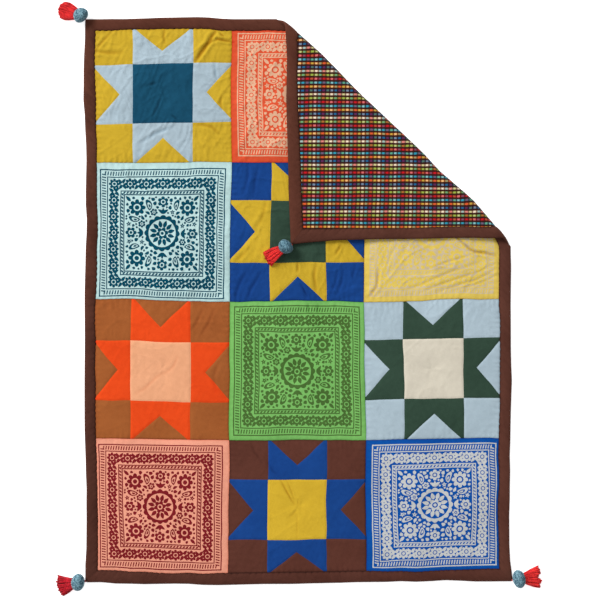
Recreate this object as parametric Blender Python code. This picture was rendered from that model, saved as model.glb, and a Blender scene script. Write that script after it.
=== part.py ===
"""A patchwork quilt of twelve blocks, laid flat with its top right corner folded over.

Every cloth piece is first laid out flat: across is measured from the left edge, up from the bottom
edge, both in metres. The function lie() then puts a flat point where it rests, flat on the surface,
round the fold, or on the turned-over flap. The flap shows the back of the quilt.
"""

import math

import bmesh
import bpy
from mathutils import Vector, geometry

# The quilt laid flat.
WIDTH = 1.148
LENGTH = 1.522
COLUMN_SEAMS = (0.028, 0.391, 0.754, 1.117)
ROW_SEAMS = (0.033, 0.387, 0.763, 1.134, 1.490)
PIECE_GAP = 0.0004
CORNER_ROUNDING = 0.006

# Its loft: thin at the seams, thick in the middle of each block, drawn in where the block is tacked.
SEAM_THICKNESS = 0.005
PUFF = 0.007
PUFF_POWER = 0.5
TACK_DEPTH = 0.005
TACK_REACH = 0.030
STAR_SEAM_DEPTH = 0.001
STAR_SEAMS = (0.28, 0.72)
FLAP_BACK_PUFF = 0.6
CELL_LINES = (0.0, 0.06, 0.16, 0.28, 0.42, 0.5, 0.58, 0.72, 0.84, 0.94)
STAR_PARITY = 1

# How far the seam crossings have crept, in millimetres to the right and up.
# One row for each row seam from the bottom, one pair for each column seam from the left.
SEAM_CREEP_MM = (
    ((3.0, 2.0), (-6.5, -6.0), (4.0, -2.5), (0.5, 5.0)),
    ((-2.5, 4.0), (-3.0, -1.0), (2.0, 0.5), (0.5, 4.0)),
    ((0.0, 3.5), (-2.0, -2.0), (-3.0, -3.0), (-0.5, 4.0)),
    ((3.0, 0.0), (2.5, 1.5), (0.0, 0.0), (0.0, 0.0)),
    ((0.0, 0.0), (3.5, 0.5), (0.0, 0.0), (0.0, 0.0)),
)

# The fold: where its edge meets the top and right edges, its roll, and how it settles on the quilt.
FOLD_ON_TOP = 0.533
FOLD_ON_RIGHT = 0.926
ROLL_RADIUS = 0.010
ROLL_EXTRA_TURN = math.radians(20.0)
FLAP_CLEARANCE = 0.002
ROLL_STEPS = 11
SETTLE_STEPS = 3
ROLL_SPACING = 0.032
# Bulges along the roll: share of the way from the top left end, and how far it stands out.
FOLD_BULGES = (
    (0.00, -0.003),
    (0.07, 0.001),
    (0.16, 0.0035),
    (0.31, -0.0005),
    (0.48, 0.001),
    (0.62, 0.0025),
    (0.69, -0.001),
    (0.83, 0.005),
    (0.94, -0.0035),
    (1.00, -0.008),
)

# The binding's section: share of the way from seam to outer edge, height above and below mid-cloth.
BINDING_SECTION = (
    (0.00, 0.0025, 0.0025),
    (0.14, 0.0048, 0.0025),
    (0.45, 0.0062, 0.0025),
    (0.75, 0.0056, 0.0025),
    (0.93, 0.0036, 0.0022),
    (1.00, 0.0008, 0.0008),
)
BINDING_STATION = 0.060
BINDING_ROLL_STATION = 0.0045

# Knots, balls and tassels. Places of the knot and of the ball's centre from the quilt's rounded corner,
# the ball's half sizes, its turn and the way the corner presses it, then the tassel's heading, its
# widths at root and tips, and its length.
CORNER_TRIMS = {
    "top_left": dict(
        knot=(-0.0015, 0.0015), ball=(-0.0118, 0.0104), half=(0.0205, 0.0205, 0.0185), turn=0, pressed=138,
        heading=163, root=0.026, tips=0.045, length=0.045,
    ),
    "bottom_left": dict(
        knot=(-0.0046, 0.0018), ball=(-0.0222, 0.0004), half=(0.0183, 0.0237, 0.0190), turn=-12, pressed=185,
        heading=192, root=0.027, tips=0.059, length=0.041,
    ),
    "bottom_right": dict(
        knot=(0.0050, 0.0018), ball=(0.0227, 0.0059), half=(0.0170, 0.0255, 0.0180), turn=12, pressed=10,
        heading=5, root=0.026, tips=0.058, length=0.047,
    ),
    "folded": dict(
        knot=(-0.0015, -0.0015), ball=(-0.0157, -0.0048), half=(0.0216, 0.0205, 0.0180), turn=20, pressed=225,
        heading=215, root=0.020, tips=0.042, length=0.043,
    ),
}
BALL_FACE_CELLS = 3
BALL_ROOT_SHARE = 0.80
LOCK_TAPER = 0.84
TIE_HALF = (0.0016, 0.0030, 0.0030)
STRANDS_ACROSS = 8
STRAND_LAYERS = 2
STRAND_THICKNESS = 0.0042
STRAND_SHRINK = 0.80
STRAND_STEPS = (0.16, 0.55, 1.0)
TASSEL_HEAD = 0.008
TRIM_CLEARANCE = 0.0015

HALF_SEAM = SEAM_THICKNESS / 2
TOP_OF_CLOTH = SEAM_THICKNESS + PUFF
FLAP_RISE = TOP_OF_CLOTH + FLAP_CLEARANCE
SETTLE_RADIUS = (ROLL_RADIUS * (1 + math.cos(ROLL_EXTRA_TURN)) - FLAP_RISE) / (1 - math.cos(ROLL_EXTRA_TURN))
ROLL_TURN = math.pi + ROLL_EXTRA_TURN
ROLL_LENGTH = ROLL_RADIUS * ROLL_TURN
SETTLE_LENGTH = SETTLE_RADIUS * ROLL_EXTRA_TURN
FOLD_START = Vector((FOLD_ON_TOP, LENGTH))
FOLD_END = Vector((WIDTH, FOLD_ON_RIGHT))
ALONG_FOLD = (FOLD_END - FOLD_START).normalized()
OVER_FOLD = Vector((-ALONG_FOLD.y, ALONG_FOLD.x))
FOLD_LENGTH = (FOLD_END - FOLD_START).length
LIFT_INSET = ROLL_RADIUS + HALF_SEAM

COLOURS = {
    "quilt": (0.45, 0.25, 0.06, 1.0),
    "binding": (0.10, 0.035, 0.022, 1.0),
    "ball": (0.14, 0.29, 0.39, 1.0),
    "tassel": (0.72, 0.02, 0.025, 1.0),
}


def smooth_step(share):
    share = min(max(share, 0.0), 1.0)
    return share * share * (3 - 2 * share)


def cell_of(place, seams):
    """Index of the stretch between seams that holds a place, and the share of the way across it."""
    index = 0
    while index < len(seams) - 2 and place > seams[index + 1]:
        index += 1
    share = (place - seams[index]) / (seams[index + 1] - seams[index])
    return index, min(max(share, 0.0), 1.0)


def creep(across, up):
    """How far the cloth at a flat place has crept."""
    column, column_share = cell_of(across, COLUMN_SEAMS)
    row, row_share = cell_of(up, ROW_SEAMS)
    right = smooth_step(column_share)
    above = smooth_step(row_share)
    total = Vector((0.0, 0.0))
    for row_step, row_weight in ((0, 1 - above), (1, above)):
        for column_step, column_weight in ((0, 1 - right), (1, right)):
            move = Vector(SEAM_CREEP_MM[row + row_step][column + column_step])
            total += move * (row_weight * column_weight / 1000.0)
    return total


def puff(across, up):
    """Share of the full loft at a flat place inside the binding."""
    column, x = cell_of(across, COLUMN_SEAMS)
    row, y = cell_of(up, ROW_SEAMS)
    crown = (math.sin(math.pi * x) * math.sin(math.pi * y)) if 0 < x < 1 and 0 < y < 1 else 0.0
    width = COLUMN_SEAMS[column + 1] - COLUMN_SEAMS[column]
    height = ROW_SEAMS[row + 1] - ROW_SEAMS[row]
    from_tack = math.hypot((x - 0.5) * width, (y - 0.5) * height)
    loft = max(crown, 0.0) ** PUFF_POWER
    loft -= TACK_DEPTH / PUFF * math.exp(-((from_tack / TACK_REACH) ** 2))
    if (row + column) % 2 == STAR_PARITY:
        for seam in STAR_SEAMS:
            if min(abs(x - seam), abs(y - seam)) < 0.01:
                loft -= STAR_SEAM_DEPTH / PUFF
    return max(loft, 0.0)


def roll_distance(across, up):
    """Distance past the line where the cloth lifts off into the fold, positive towards the corner."""
    return (Vector((across, up)) - FOLD_START).dot(OVER_FOLD) + LIFT_INSET


def turned_share(distance):
    """0 on the flat quilt, 1 on the turned-over flap."""
    return smooth_step(distance / ROLL_LENGTH)


def fold_bulge(share):
    share = min(max(share, 0.0), 1.0)
    for (start, low), (end, high) in zip(FOLD_BULGES, FOLD_BULGES[1:]):
        if share <= end:
            return low + (high - low) * smooth_step((share - start) / (end - start))
    return FOLD_BULGES[-1][1]


def fold_section(distance):
    """Mid-cloth's place past the lift-off line, its height above the flat cloth, and its angle."""
    if distance <= 0:
        return distance, 0.0, 0.0
    if distance <= ROLL_LENGTH:
        angle = distance / ROLL_RADIUS
        return ROLL_RADIUS * math.sin(angle), ROLL_RADIUS * (1 - math.cos(angle)), angle
    end = ROLL_TURN
    out = ROLL_RADIUS * math.sin(end)
    rise = ROLL_RADIUS * (1 - math.cos(end))
    back = min((distance - ROLL_LENGTH) / SETTLE_RADIUS, ROLL_EXTRA_TURN)
    angle = end - back
    out -= SETTLE_RADIUS * (math.sin(ROLL_EXTRA_TURN) - math.sin(ROLL_EXTRA_TURN - back))
    rise -= SETTLE_RADIUS * (math.cos(ROLL_EXTRA_TURN - back) - math.cos(ROLL_EXTRA_TURN))
    straight = max(distance - ROLL_LENGTH - SETTLE_LENGTH, 0.0)
    return out - straight, rise, angle


def round_corner(across, up):
    """Draw a place near one of the four sharp corners in to a rounded corner."""
    middle_x = min(max(across, CORNER_ROUNDING), WIDTH - CORNER_ROUNDING)
    middle_y = min(max(up, CORNER_ROUNDING), LENGTH - CORNER_ROUNDING)
    dx = across - middle_x
    dy = up - middle_y
    if dx == 0 or dy == 0:
        return across, up
    share = max(abs(dx), abs(dy)) / math.hypot(dx, dy)
    return middle_x + dx * share, middle_y + dy * share


def lie(across, up, above):
    """Where a point of the cloth rests: a flat place, and its height above mid-cloth."""
    across, up = round_corner(across, up)
    distance = roll_distance(across, up)
    flat = Vector((across, up)) + creep(across, up)
    if distance <= 0:
        return Vector((flat.x, flat.y, HALF_SEAM + above))
    along = (flat - FOLD_START).dot(ALONG_FOLD)
    out, rise, angle = fold_section(distance)
    bulge = fold_bulge(along / FOLD_LENGTH) * max(math.sin(angle), 0.0)
    over = out - above * math.sin(angle) + bulge - LIFT_INSET
    place = FOLD_START + ALONG_FOLD * along + OVER_FOLD * over
    return Vector((place.x, place.y, HALF_SEAM + rise + above * math.cos(angle)))


def cloth_faces(across, up):
    """Heights of the patchwork face and of the back, above and below mid-cloth."""
    turned = turned_share(roll_distance(across, up))
    loft = PUFF * puff(across, up)
    return HALF_SEAM + loft * (1 - turned), HALF_SEAM + loft * turned * FLAP_BACK_PUFF


def surface_height(across, up):
    """Height of what a trim rests on: the floor, or the flat part of the quilt."""
    on_quilt = 0 < across < WIDTH and 0 < up < LENGTH
    return HALF_SEAM + cloth_faces(across, up)[0] + TRIM_CLEARANCE if on_quilt else 0.0


def grid_lines(seams):
    """Places of the grid's lines between the first and last seam."""
    lines = [low + (high - low) * share for low, high in zip(seams, seams[1:]) for share in CELL_LINES]
    return lines + [seams[-1]]


def roll_lines():
    """Distances past lift-off of the lines that follow the fold."""
    rolled = [ROLL_LENGTH * step / ROLL_STEPS for step in range(ROLL_STEPS + 1)]
    settled = [ROLL_LENGTH + SETTLE_LENGTH * step / SETTLE_STEPS for step in range(1, SETTLE_STEPS + 1)]
    return rolled + settled


def fold_line(distance, right, top):
    """A line that follows the fold: its origin, and how far along it meets the top and right edges."""
    origin = FOLD_START + OVER_FOLD * (distance - LIFT_INSET)
    return origin, (top - origin.y) / ALONG_FOLD.y, (right - origin.x) / ALONG_FOLD.x


def fold_line_points(distance, right, top):
    """Points on a line that follows the fold, in step with those of its neighbours."""
    origin, start, end = fold_line(distance, right, top)
    first = math.ceil(start / ROLL_SPACING + 0.4)
    last = math.floor(end / ROLL_SPACING - 0.4)
    places = [start] + [ROLL_SPACING * step for step in range(first, last + 1)] + [end]
    return [tuple(origin + ALONG_FOLD * place) for place in places]


def body_plan():
    """Flat points and triangles of the patchwork between the bindings."""
    left, right = COLUMN_SEAMS[0] + PIECE_GAP, COLUMN_SEAMS[-1] - PIECE_GAP
    bottom, top = ROW_SEAMS[0] + PIECE_GAP, ROW_SEAMS[-1] - PIECE_GAP
    columns = [min(max(place, left), right) for place in grid_lines(COLUMN_SEAMS)]
    rows = [min(max(place, bottom), top) for place in grid_lines(ROW_SEAMS)]
    lines = roll_lines()
    margin = 0.35 * ROLL_SPACING
    points = [
        (across, up) for across in columns for up in rows
        if not -margin < roll_distance(across, up) < lines[-1] + margin
    ]
    for distance in lines:
        points += fold_line_points(distance, right, top)
    points += [(left, bottom), (right, bottom), (right, top), (left, top)]
    edge = 1e-6
    rim = [point for point in set(points) if point[0] < left + edge or point[0] > right - edge
           or point[1] < bottom + edge or point[1] > top - edge]
    middle = Vector(((left + right) / 2, (bottom + top) / 2))
    rim.sort(key=lambda point: math.atan2(point[1] - middle.y, point[0] - middle.x))
    inside = [point for point in sorted(set(points)) if point not in set(rim)]
    ordered = [Vector(point) for point in rim + inside]
    result = geometry.delaunay_2d_cdt(ordered, [], [list(range(len(rim)))], 1, 1e-7)
    return result[0], result[2]


def new_object(name, shape, material, collection, smooth_angle=50.0):
    """Turn a bmesh into a named, shaded object."""
    mesh = bpy.data.meshes.new(name)
    shape.to_mesh(mesh)
    shape.free()
    mesh.shade_smooth()
    mesh.set_sharp_from_angle(angle=math.radians(smooth_angle))
    mesh.materials.append(material)
    item = bpy.data.objects.new(name, mesh)
    collection.objects.link(item)
    return item


def quilt_body(material, collection):
    """The padded patchwork: a front face, a back face and the rim that joins them."""
    plan, triangles = body_plan()
    shape = bmesh.new()
    front = []
    back = []
    for point in plan:
        over, under = cloth_faces(point.x, point.y)
        front.append(shape.verts.new(lie(point.x, point.y, over)))
        back.append(shape.verts.new(lie(point.x, point.y, -under)))
    edges = {}
    for triangle in triangles:
        shape.faces.new([front[index] for index in triangle])
        shape.faces.new([back[index] for index in reversed(triangle)])
        for start, end in zip(triangle, triangle[1:] + triangle[:1]):
            edges[(start, end)] = True
    for start, end in edges:
        if (end, start) not in edges:
            shape.faces.new((front[end], front[start], back[start], back[end]))
    bmesh.ops.recalc_face_normals(shape, faces=shape.faces)
    return new_object("quilt_body", shape, material, collection)


def binding_stations(length, shears, roll_range):
    """Stations of one strip: outer place along its edge, and how far its inner end leads the outer."""
    start_shear, roll_shear, end_shear = shears
    places = [0.0]
    while places[-1] < length - 1e-6:
        in_roll = roll_range and roll_range[0] <= places[-1] < roll_range[1]
        step = BINDING_ROLL_STATION if in_roll else BINDING_STATION
        ahead = places[-1] + step
        if roll_range and places[-1] < roll_range[0] < ahead:
            ahead = roll_range[0]
        places.append(min(ahead, length))
    if places[-1] - places[-2] < 0.3 * BINDING_ROLL_STATION:
        places.pop(-2)
    stations = []
    for place in places:
        if not roll_range:
            shear = start_shear + (end_shear - start_shear) * place / length
        elif place <= roll_range[0]:
            shear = start_shear + (roll_shear - start_shear) * place / roll_range[0]
        elif place <= roll_range[1]:
            shear = roll_shear
        else:
            shear = roll_shear + (end_shear - roll_shear) * (place - roll_range[1]) / (length - roll_range[1])
        stations.append((place, shear))
    return stations


def binding_strip(name, corner, along, inward, length, width, shears, roll_range, material, collection):
    """One strip of the binding, swept along its edge, mitred at both ends."""
    shape = bmesh.new()
    rings = []
    stations = binding_stations(length, shears, roll_range)
    for place, shear in stations:
        end_gap = PIECE_GAP if place == 0 else -PIECE_GAP if place == length else 0.0
        ring = []
        outline = [(share, over, 1) for share, over, under in BINDING_SECTION]
        outline += [(share, under, -1) for share, over, under in reversed(BINDING_SECTION)]
        for share, height, side in outline:
            depth = width * (1 - share)
            if share == 0.0:
                depth -= PIECE_GAP
            flat = corner + along * (place + shear * depth + end_gap) + inward * depth
            turned = turned_share(roll_distance(flat.x, flat.y))
            over = next(row[1] for row in BINDING_SECTION if row[0] == share)
            if side > 0:
                above = height + (min(height, HALF_SEAM) - height) * turned
            else:
                above = -(height + (over - height) * turned)
            ring.append(shape.verts.new(lie(flat.x, flat.y, above)))
        rings.append(ring)
    count = len(rings[0])
    for before, after in zip(rings, rings[1:]):
        for index in range(count):
            following = (index + 1) % count
            shape.faces.new((before[index], before[following], after[following], after[index]))
    shape.faces.new(rings[0])
    shape.faces.new(reversed(rings[-1]))
    bmesh.ops.recalc_face_normals(shape, faces=shape.faces)
    bmesh.ops.triangulate(shape, faces=shape.faces)
    return new_object(name, shape, material, collection)


def bindings(material, collection):
    """Four strips round the quilt. The top and right ones pass through the fold."""
    left, right = COLUMN_SEAMS[0], WIDTH - COLUMN_SEAMS[-1]
    bottom, top = ROW_SEAMS[0], LENGTH - ROW_SEAMS[-1]
    reach = ROLL_LENGTH + SETTLE_LENGTH
    lift_origin, lift_top, lift_right = fold_line(0.0, WIDTH, LENGTH)
    rest_origin, rest_top, rest_right = fold_line(reach, WIDTH, LENGTH)
    top_roll = ((lift_origin + ALONG_FOLD * lift_top).x, (rest_origin + ALONG_FOLD * rest_top).x)
    right_roll = ((lift_origin + ALONG_FOLD * lift_right).y, (rest_origin + ALONG_FOLD * rest_right).y)
    fold_lead_top = -ALONG_FOLD.x / ALONG_FOLD.y
    fold_lead_right = -ALONG_FOLD.y / ALONG_FOLD.x
    x_axis, y_axis = Vector((1, 0)), Vector((0, 1))
    binding_strip("binding_bottom", Vector((0, 0)), x_axis, y_axis, WIDTH, bottom,
                  (left / bottom, 0, -right / bottom), None, material, collection)
    binding_strip("binding_left", Vector((0, 0)), y_axis, x_axis, LENGTH, left,
                  (bottom / left, 0, -top / left), None, material, collection)
    binding_strip("binding_top", Vector((0, LENGTH)), x_axis, -y_axis, WIDTH, top,
                  (left / top, fold_lead_top, -right / top), top_roll, material, collection)
    binding_strip("binding_right", Vector((WIDTH, 0)), y_axis, -x_axis, LENGTH, right,
                  (bottom / right, fold_lead_right, -top / right), right_roll,
                  material, collection)


def corner_of(name):
    """Where mid-cloth lies at the tip of one of the quilt's four rounded corners."""
    flat = {"top_left": (0, LENGTH), "bottom_left": (0, 0), "bottom_right": (WIDTH, 0)}
    return lie(*flat.get(name, (WIDTH, LENGTH)), 0.0)


def keep_clear(point, planes, centre):
    """Draw a point back towards the ball's centre until it is inside every plane."""
    for origin, outward in planes:
        reach = (point - centre).dot(outward)
        limit = (origin - centre).dot(outward)
        if reach > limit:
            point = centre + (point - centre) * (limit / reach)
    return point


def yarn_ball(name, centre, half, turn, planes, material, collection):
    """A dense ball of yarn: locks that stand apart, fused at their roots, shorter underneath."""
    shape = bmesh.new()
    bmesh.ops.create_cube(shape, size=2.0)
    bmesh.ops.subdivide_edges(shape, edges=shape.edges[:], cuts=BALL_FACE_CELLS - 1, use_grid_fill=True)
    for vert in shape.verts:
        vert.co = vert.co.normalized() * BALL_ROOT_SHARE
    roots = shape.faces[:]
    tips = bmesh.ops.extrude_discrete_faces(shape, faces=roots)["faces"]
    for tip in tips:
        middle = tip.calc_center_median()
        for vert in tip.verts:
            drawn_in = middle + (vert.co - middle) * LOCK_TAPER
            vert.co = drawn_in.normalized()
    turned = math.radians(turn)
    for vert in shape.verts:
        wide = vert.co.x * half[0]
        deep = vert.co.y * half[1]
        vert.co = centre + Vector((
            wide * math.cos(turned) - deep * math.sin(turned),
            wide * math.sin(turned) + deep * math.cos(turned),
            vert.co.z * half[2],
        ))
        vert.co = keep_clear(vert.co, planes, centre)
    bmesh.ops.recalc_face_normals(shape, faces=shape.faces)
    bmesh.ops.triangulate(shape, faces=shape.faces)
    return new_object(name, shape, material, collection, 30.0)


def tassel(name, root, heading, spec, material, collection):
    """Strands that fan out from a flat head and rest on the surface below them."""
    ahead = Vector((math.cos(heading), math.sin(heading), 0.0))
    side = Vector((-ahead.y, ahead.x, 0.0))
    layers = STRAND_LAYERS * STRAND_THICKNESS
    shape = bmesh.new()

    def place(share_along, share_across, height):
        width = spec["root"] + (spec["tips"] - spec["root"]) * share_along
        bow = 1.0 - 0.12 * share_across * share_across * 4 * share_along
        flat = root + ahead * (spec["length"] * share_along * bow) + side * (width * share_across)
        return Vector((flat.x, flat.y, surface_height(flat.x, flat.y) + height))

    def lattice(setback):
        return [[shape.verts.new(place(0, column / STRANDS_ACROSS - 0.5, layers * row / STRAND_LAYERS)
                                 - ahead * setback)
                 for column in range(STRANDS_ACROSS + 1)] for row in range(STRAND_LAYERS + 1)]

    back = lattice(TASSEL_HEAD)
    front = lattice(0.0)
    for row in range(STRAND_LAYERS):
        for column in range(STRANDS_ACROSS):
            shape.faces.new((back[row][column], back[row + 1][column],
                             back[row + 1][column + 1], back[row][column + 1]))
            tip = shape.faces.new((front[row][column], front[row][column + 1],
                                   front[row + 1][column + 1], front[row + 1][column]))
            for step, share in enumerate(STRAND_STEPS):
                tip = bmesh.ops.extrude_discrete_faces(shape, faces=[tip])["faces"][0]
                across = (column + 0.5) / STRANDS_ACROSS - 0.5
                ragged = 1.0 - 0.06 * ((3 * column + 5 * row) % 4) * (step == len(STRAND_STEPS) - 1)
                half_wide = 0.5 * STRAND_SHRINK / STRANDS_ACROSS
                low = STRAND_THICKNESS * row * 1.02
                for vert, (left, top) in zip(tip.verts, ((-1, 0), (1, 0), (1, 1), (-1, 1))):
                    inner = STRAND_THICKNESS * (STRAND_SHRINK if top else 1 - STRAND_SHRINK if row else 0)
                    vert.co = place(share * ragged, across + left * half_wide, low + inner)
    for row, upper in ((0, False), (STRAND_LAYERS, True)):
        for column in range(STRANDS_ACROSS):
            ring = (back[row][column], back[row][column + 1], front[row][column + 1], front[row][column])
            shape.faces.new(ring if upper else ring[::-1])
    for column in (0, STRANDS_ACROSS):
        for row in range(STRAND_LAYERS):
            shape.faces.new((back[row][column], back[row + 1][column],
                             front[row + 1][column], front[row][column]))
    bmesh.ops.recalc_face_normals(shape, faces=shape.faces)
    bmesh.ops.triangulate(shape, faces=shape.faces)
    return new_object(name, shape, material, collection, 30.0)


def tie_knot(name, centre, heading, material, collection):
    """The small knot between a corner and its ball."""
    shape = bmesh.new()
    bmesh.ops.create_uvsphere(shape, u_segments=10, v_segments=6, radius=1.0)
    for vert in shape.verts:
        x, y, z = (value * size for value, size in zip(vert.co, TIE_HALF))
        vert.co = centre + Vector((
            x * math.cos(heading) - y * math.sin(heading),
            x * math.sin(heading) + y * math.cos(heading),
            z,
        ))
    return new_object(name, shape, material, collection, 60.0)


def corner_trim(name, spec, materials, collection):
    """A knot, a ball and a tassel at one corner, each clear of the next."""
    corner = corner_of(name)
    flat = Vector((corner.x + spec["ball"][0], corner.y + spec["ball"][1]))
    rest = surface_height(flat.x, flat.y)
    centre = Vector((flat.x, flat.y, rest + spec["half"][2] * 0.92))
    knot = Vector((corner.x + spec["knot"][0], corner.y + spec["knot"][1]))
    pressed = math.radians(spec["pressed"])
    outward = Vector((math.cos(pressed), math.sin(pressed), 0.0))
    heading = math.radians(spec["heading"])
    ahead = Vector((math.cos(heading), math.sin(heading), 0.0))
    ball_limit = Vector((knot.x, knot.y, 0.0)) + outward * (TIE_HALF[0] + PIECE_GAP)
    reach = spec["half"][0] * 0.86
    tassel_root = centre + ahead * (reach + TASSEL_HEAD + PIECE_GAP)
    floor_plane = (Vector((0, 0, rest)), Vector((0, 0, -1)))
    planes = (floor_plane, (ball_limit, -outward), (centre + ahead * reach, ahead))
    yarn_ball("pompom_" + name, centre, spec["half"], spec["turn"], planes, materials["ball"], collection)
    tassel("tassel_" + name, Vector((tassel_root.x, tassel_root.y, 0.0)), heading, spec,
           materials["tassel"], collection)
    knot_height = corner.z if name == "folded" else max(corner.z, TIE_HALF[2])
    tie_knot("tie_" + name, Vector((knot.x, knot.y, knot_height)), pressed,
             materials["tassel"], collection)


def cloth_material(name, colour, roughness):
    material = bpy.data.materials.new(name)
    material.use_nodes = True
    surface = material.node_tree.nodes["Principled BSDF"]
    surface.inputs["Base Color"].default_value = colour
    surface.inputs["Roughness"].default_value = roughness
    surface.inputs["Metallic"].default_value = 0.0
    return material


def stand_on_origin(items):
    """Move all the pieces so that the middle of their box's floor is the origin."""
    corners = [vert.co for item in items for vert in item.data.vertices]
    low = Vector([min(corner[axis] for corner in corners) for axis in range(3)])
    high = Vector([max(corner[axis] for corner in corners) for axis in range(3)])
    move = Vector((-(low.x + high.x) / 2, -(low.y + high.y) / 2, -low.z))
    for item in items:
        for vert in item.data.vertices:
            vert.co += move


def main():
    for item in list(bpy.data.objects):
        bpy.data.objects.remove(item)
    collection = bpy.data.collections.new("patchwork_quilt")
    bpy.context.scene.collection.children.link(collection)
    materials = {name: cloth_material(name, colour, 0.9) for name, colour in COLOURS.items()}
    quilt_body(materials["quilt"], collection)
    bindings(materials["binding"], collection)
    for name, spec in CORNER_TRIMS.items():
        corner_trim(name, spec, materials, collection)
    stand_on_origin(list(collection.objects))


main()
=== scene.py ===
"""Dresses the patchwork quilt: pieced and printed blocks, checked backing, binding, yarn balls and tassels."""

from __future__ import annotations

import logging
import math
from dataclasses import dataclass, field
from enum import Enum, IntEnum
from functools import cache

import bpy
import numpy as np
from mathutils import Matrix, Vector, geometry


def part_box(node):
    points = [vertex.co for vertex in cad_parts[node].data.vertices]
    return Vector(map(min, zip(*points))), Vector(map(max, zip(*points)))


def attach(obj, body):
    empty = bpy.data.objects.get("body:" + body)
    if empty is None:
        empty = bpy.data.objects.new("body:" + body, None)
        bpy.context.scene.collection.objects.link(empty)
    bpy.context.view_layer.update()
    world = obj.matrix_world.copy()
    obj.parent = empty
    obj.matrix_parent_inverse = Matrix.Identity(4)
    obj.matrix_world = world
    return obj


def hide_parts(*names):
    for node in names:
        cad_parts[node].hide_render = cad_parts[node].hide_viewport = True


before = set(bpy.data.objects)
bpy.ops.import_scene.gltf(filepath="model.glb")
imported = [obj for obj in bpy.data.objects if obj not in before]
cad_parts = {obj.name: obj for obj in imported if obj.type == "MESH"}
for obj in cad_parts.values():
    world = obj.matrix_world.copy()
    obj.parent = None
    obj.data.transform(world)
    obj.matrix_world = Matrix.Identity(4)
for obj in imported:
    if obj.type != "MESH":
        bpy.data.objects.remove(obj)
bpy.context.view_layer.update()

Array = np.ndarray
Pair = tuple[float, float]
Triple = tuple[float, float, float]
# Display values from 0 to 255, the linear colour that a shader takes, and the same with its opacity.
Display = tuple[int, int, int]
Colour = Triple
LinearColour = tuple[float, float, float, float]
Socket = bpy.types.NodeSocket
LOG = logging.getLogger("patchwork_quilt")

MM = 0.001
TINY = 1e-12
QUARTER_TURNS = tuple(side * math.pi / 2 for side in range(4))
# Noise repeats after this many cells.
LATTICE = 64
DISPLAY_WHITE = 255.0
FLAT_MAP = "flat"
# The painted shade that each piece stores on its points, which darkens its colour.
PAINTED_SHADE = "painted_shade"
BAKE_MAP = "OFBake"
ROOT_BODY = "root"


class Seed(IntEnum):
    """Where each random lattice or draw starts. Two that never meet may share a start."""

    FILLERS = 5
    WANDER_RIGHT = 23
    WANDER_UP = 27
    PUCKER_PLACE = 31
    PUCKER_SIZE = 37
    UNDERSIDE = 40
    GATHER_PLACE = 51
    GATHER_SIZE = 57
    SWELL = 61
    RIBS = 63
    WRINKLE_BEND = 61
    WRINKLE_PATCH = 66
    WRINKLE_HEIGHT = 101
    FOLD_BEND = 71
    FOLD_HEIGHT = 81
    FOLD_PATCH = 91
    BALL = 100
    TASSEL = 200


def linear(red: int, green: int, blue: int) -> Colour:
    """Turn a colour of 0 to 255 display values into the linear one that a shader takes.

    Args:
        red: display red.
        green: display green.
        blue: display blue.

    Returns:
        The linear colour.
    """
    shares = [value / DISPLAY_WHITE for value in (red, green, blue)]
    return tuple(s / 12.92 if s <= 0.04045 else ((s + 0.055) / 1.055) ** 2.4 for s in shares)


def smooth_step(share: Array) -> Array:
    """Ease a share of the way from 0 to 1."""
    share = np.clip(share, 0.0, 1.0)
    return share * share * (3.0 - 2.0 * share)


def mixed(corners: tuple[Array, Array, Array, Array], right: Array, above: Array) -> Array:
    """Mix the values at the four corners of a cell.

    Args:
        corners: values at the lower left, lower right, upper left and upper right.
        right: share of the way across the cell.
        above: share of the way up it.

    Returns:
        The mixed values.
    """
    low = corners[0] * (1 - right) + corners[1] * right
    high = corners[2] * (1 - right) + corners[3] * right
    return low * (1 - above) + high * above


def lattice_noise(x: Array, y: Array, cell: float, seed: int) -> Array:
    """Smooth noise from a lattice of seeded random heights.

    Args:
        x: places across, in metres.
        y: places up, in metres.
        cell: lattice spacing in metres.
        seed: number that fixes the heights.

    Returns:
        Heights from -1 to 1.
    """
    heights = np.random.RandomState(seed).uniform(-1.0, 1.0, (LATTICE, LATTICE))
    column, row = np.floor(x / cell).astype(int), np.floor(y / cell).astype(int)
    right, above = smooth_step(x / cell - column), smooth_step(y / cell - row)
    columns, rows = (column % LATTICE, (column + 1) % LATTICE), (row % LATTICE, (row + 1) % LATTICE)
    return mixed(tuple(heights[at_row, at_column] for at_row in rows for at_column in columns), right, above)


def distance_to_path(x: Array, y: Array, path: Array) -> tuple[Array, Array]:
    """How far places lie from a line of points, and how far along it their nearest point is.

    Args:
        x: places across.
        y: places up.
        path: points of the line, one row each.

    Returns:
        The distances, and the share of the way along the line.
    """
    best = np.full(np.shape(x), np.inf)
    share = np.zeros(np.shape(x))
    steps = len(path) - 1
    for index in range(steps):
        start, run = path[index], path[index + 1] - path[index]
        along = ((x - start[0]) * run[0] + (y - start[1]) * run[1]) / max(float(run @ run), TINY)
        held = np.clip(along, 0.0, 1.0)
        gap = np.hypot(x - start[0] - held * run[0], y - start[1] - held * run[1])
        nearer = gap < best
        best = np.where(nearer, gap, best)
        share = np.where(nearer, (index + held) / steps, share)
    return best, share


def seam_cell(place: Array, seams: tuple[float, ...]) -> tuple[Array, Array, Array]:
    """The stretch between seams that holds each place.

    Args:
        place: places along one side.
        seams: places of the seams.

    Returns:
        Index of the stretch, share of the way across it, and its length.
    """
    lines = np.array(seams)
    index = np.clip(np.searchsorted(lines, place) - 1, 0, len(lines) - 2)
    length = lines[index + 1] - lines[index]
    return index, np.clip((place - lines[index]) / length, 0.0, 1.0), length


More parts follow.
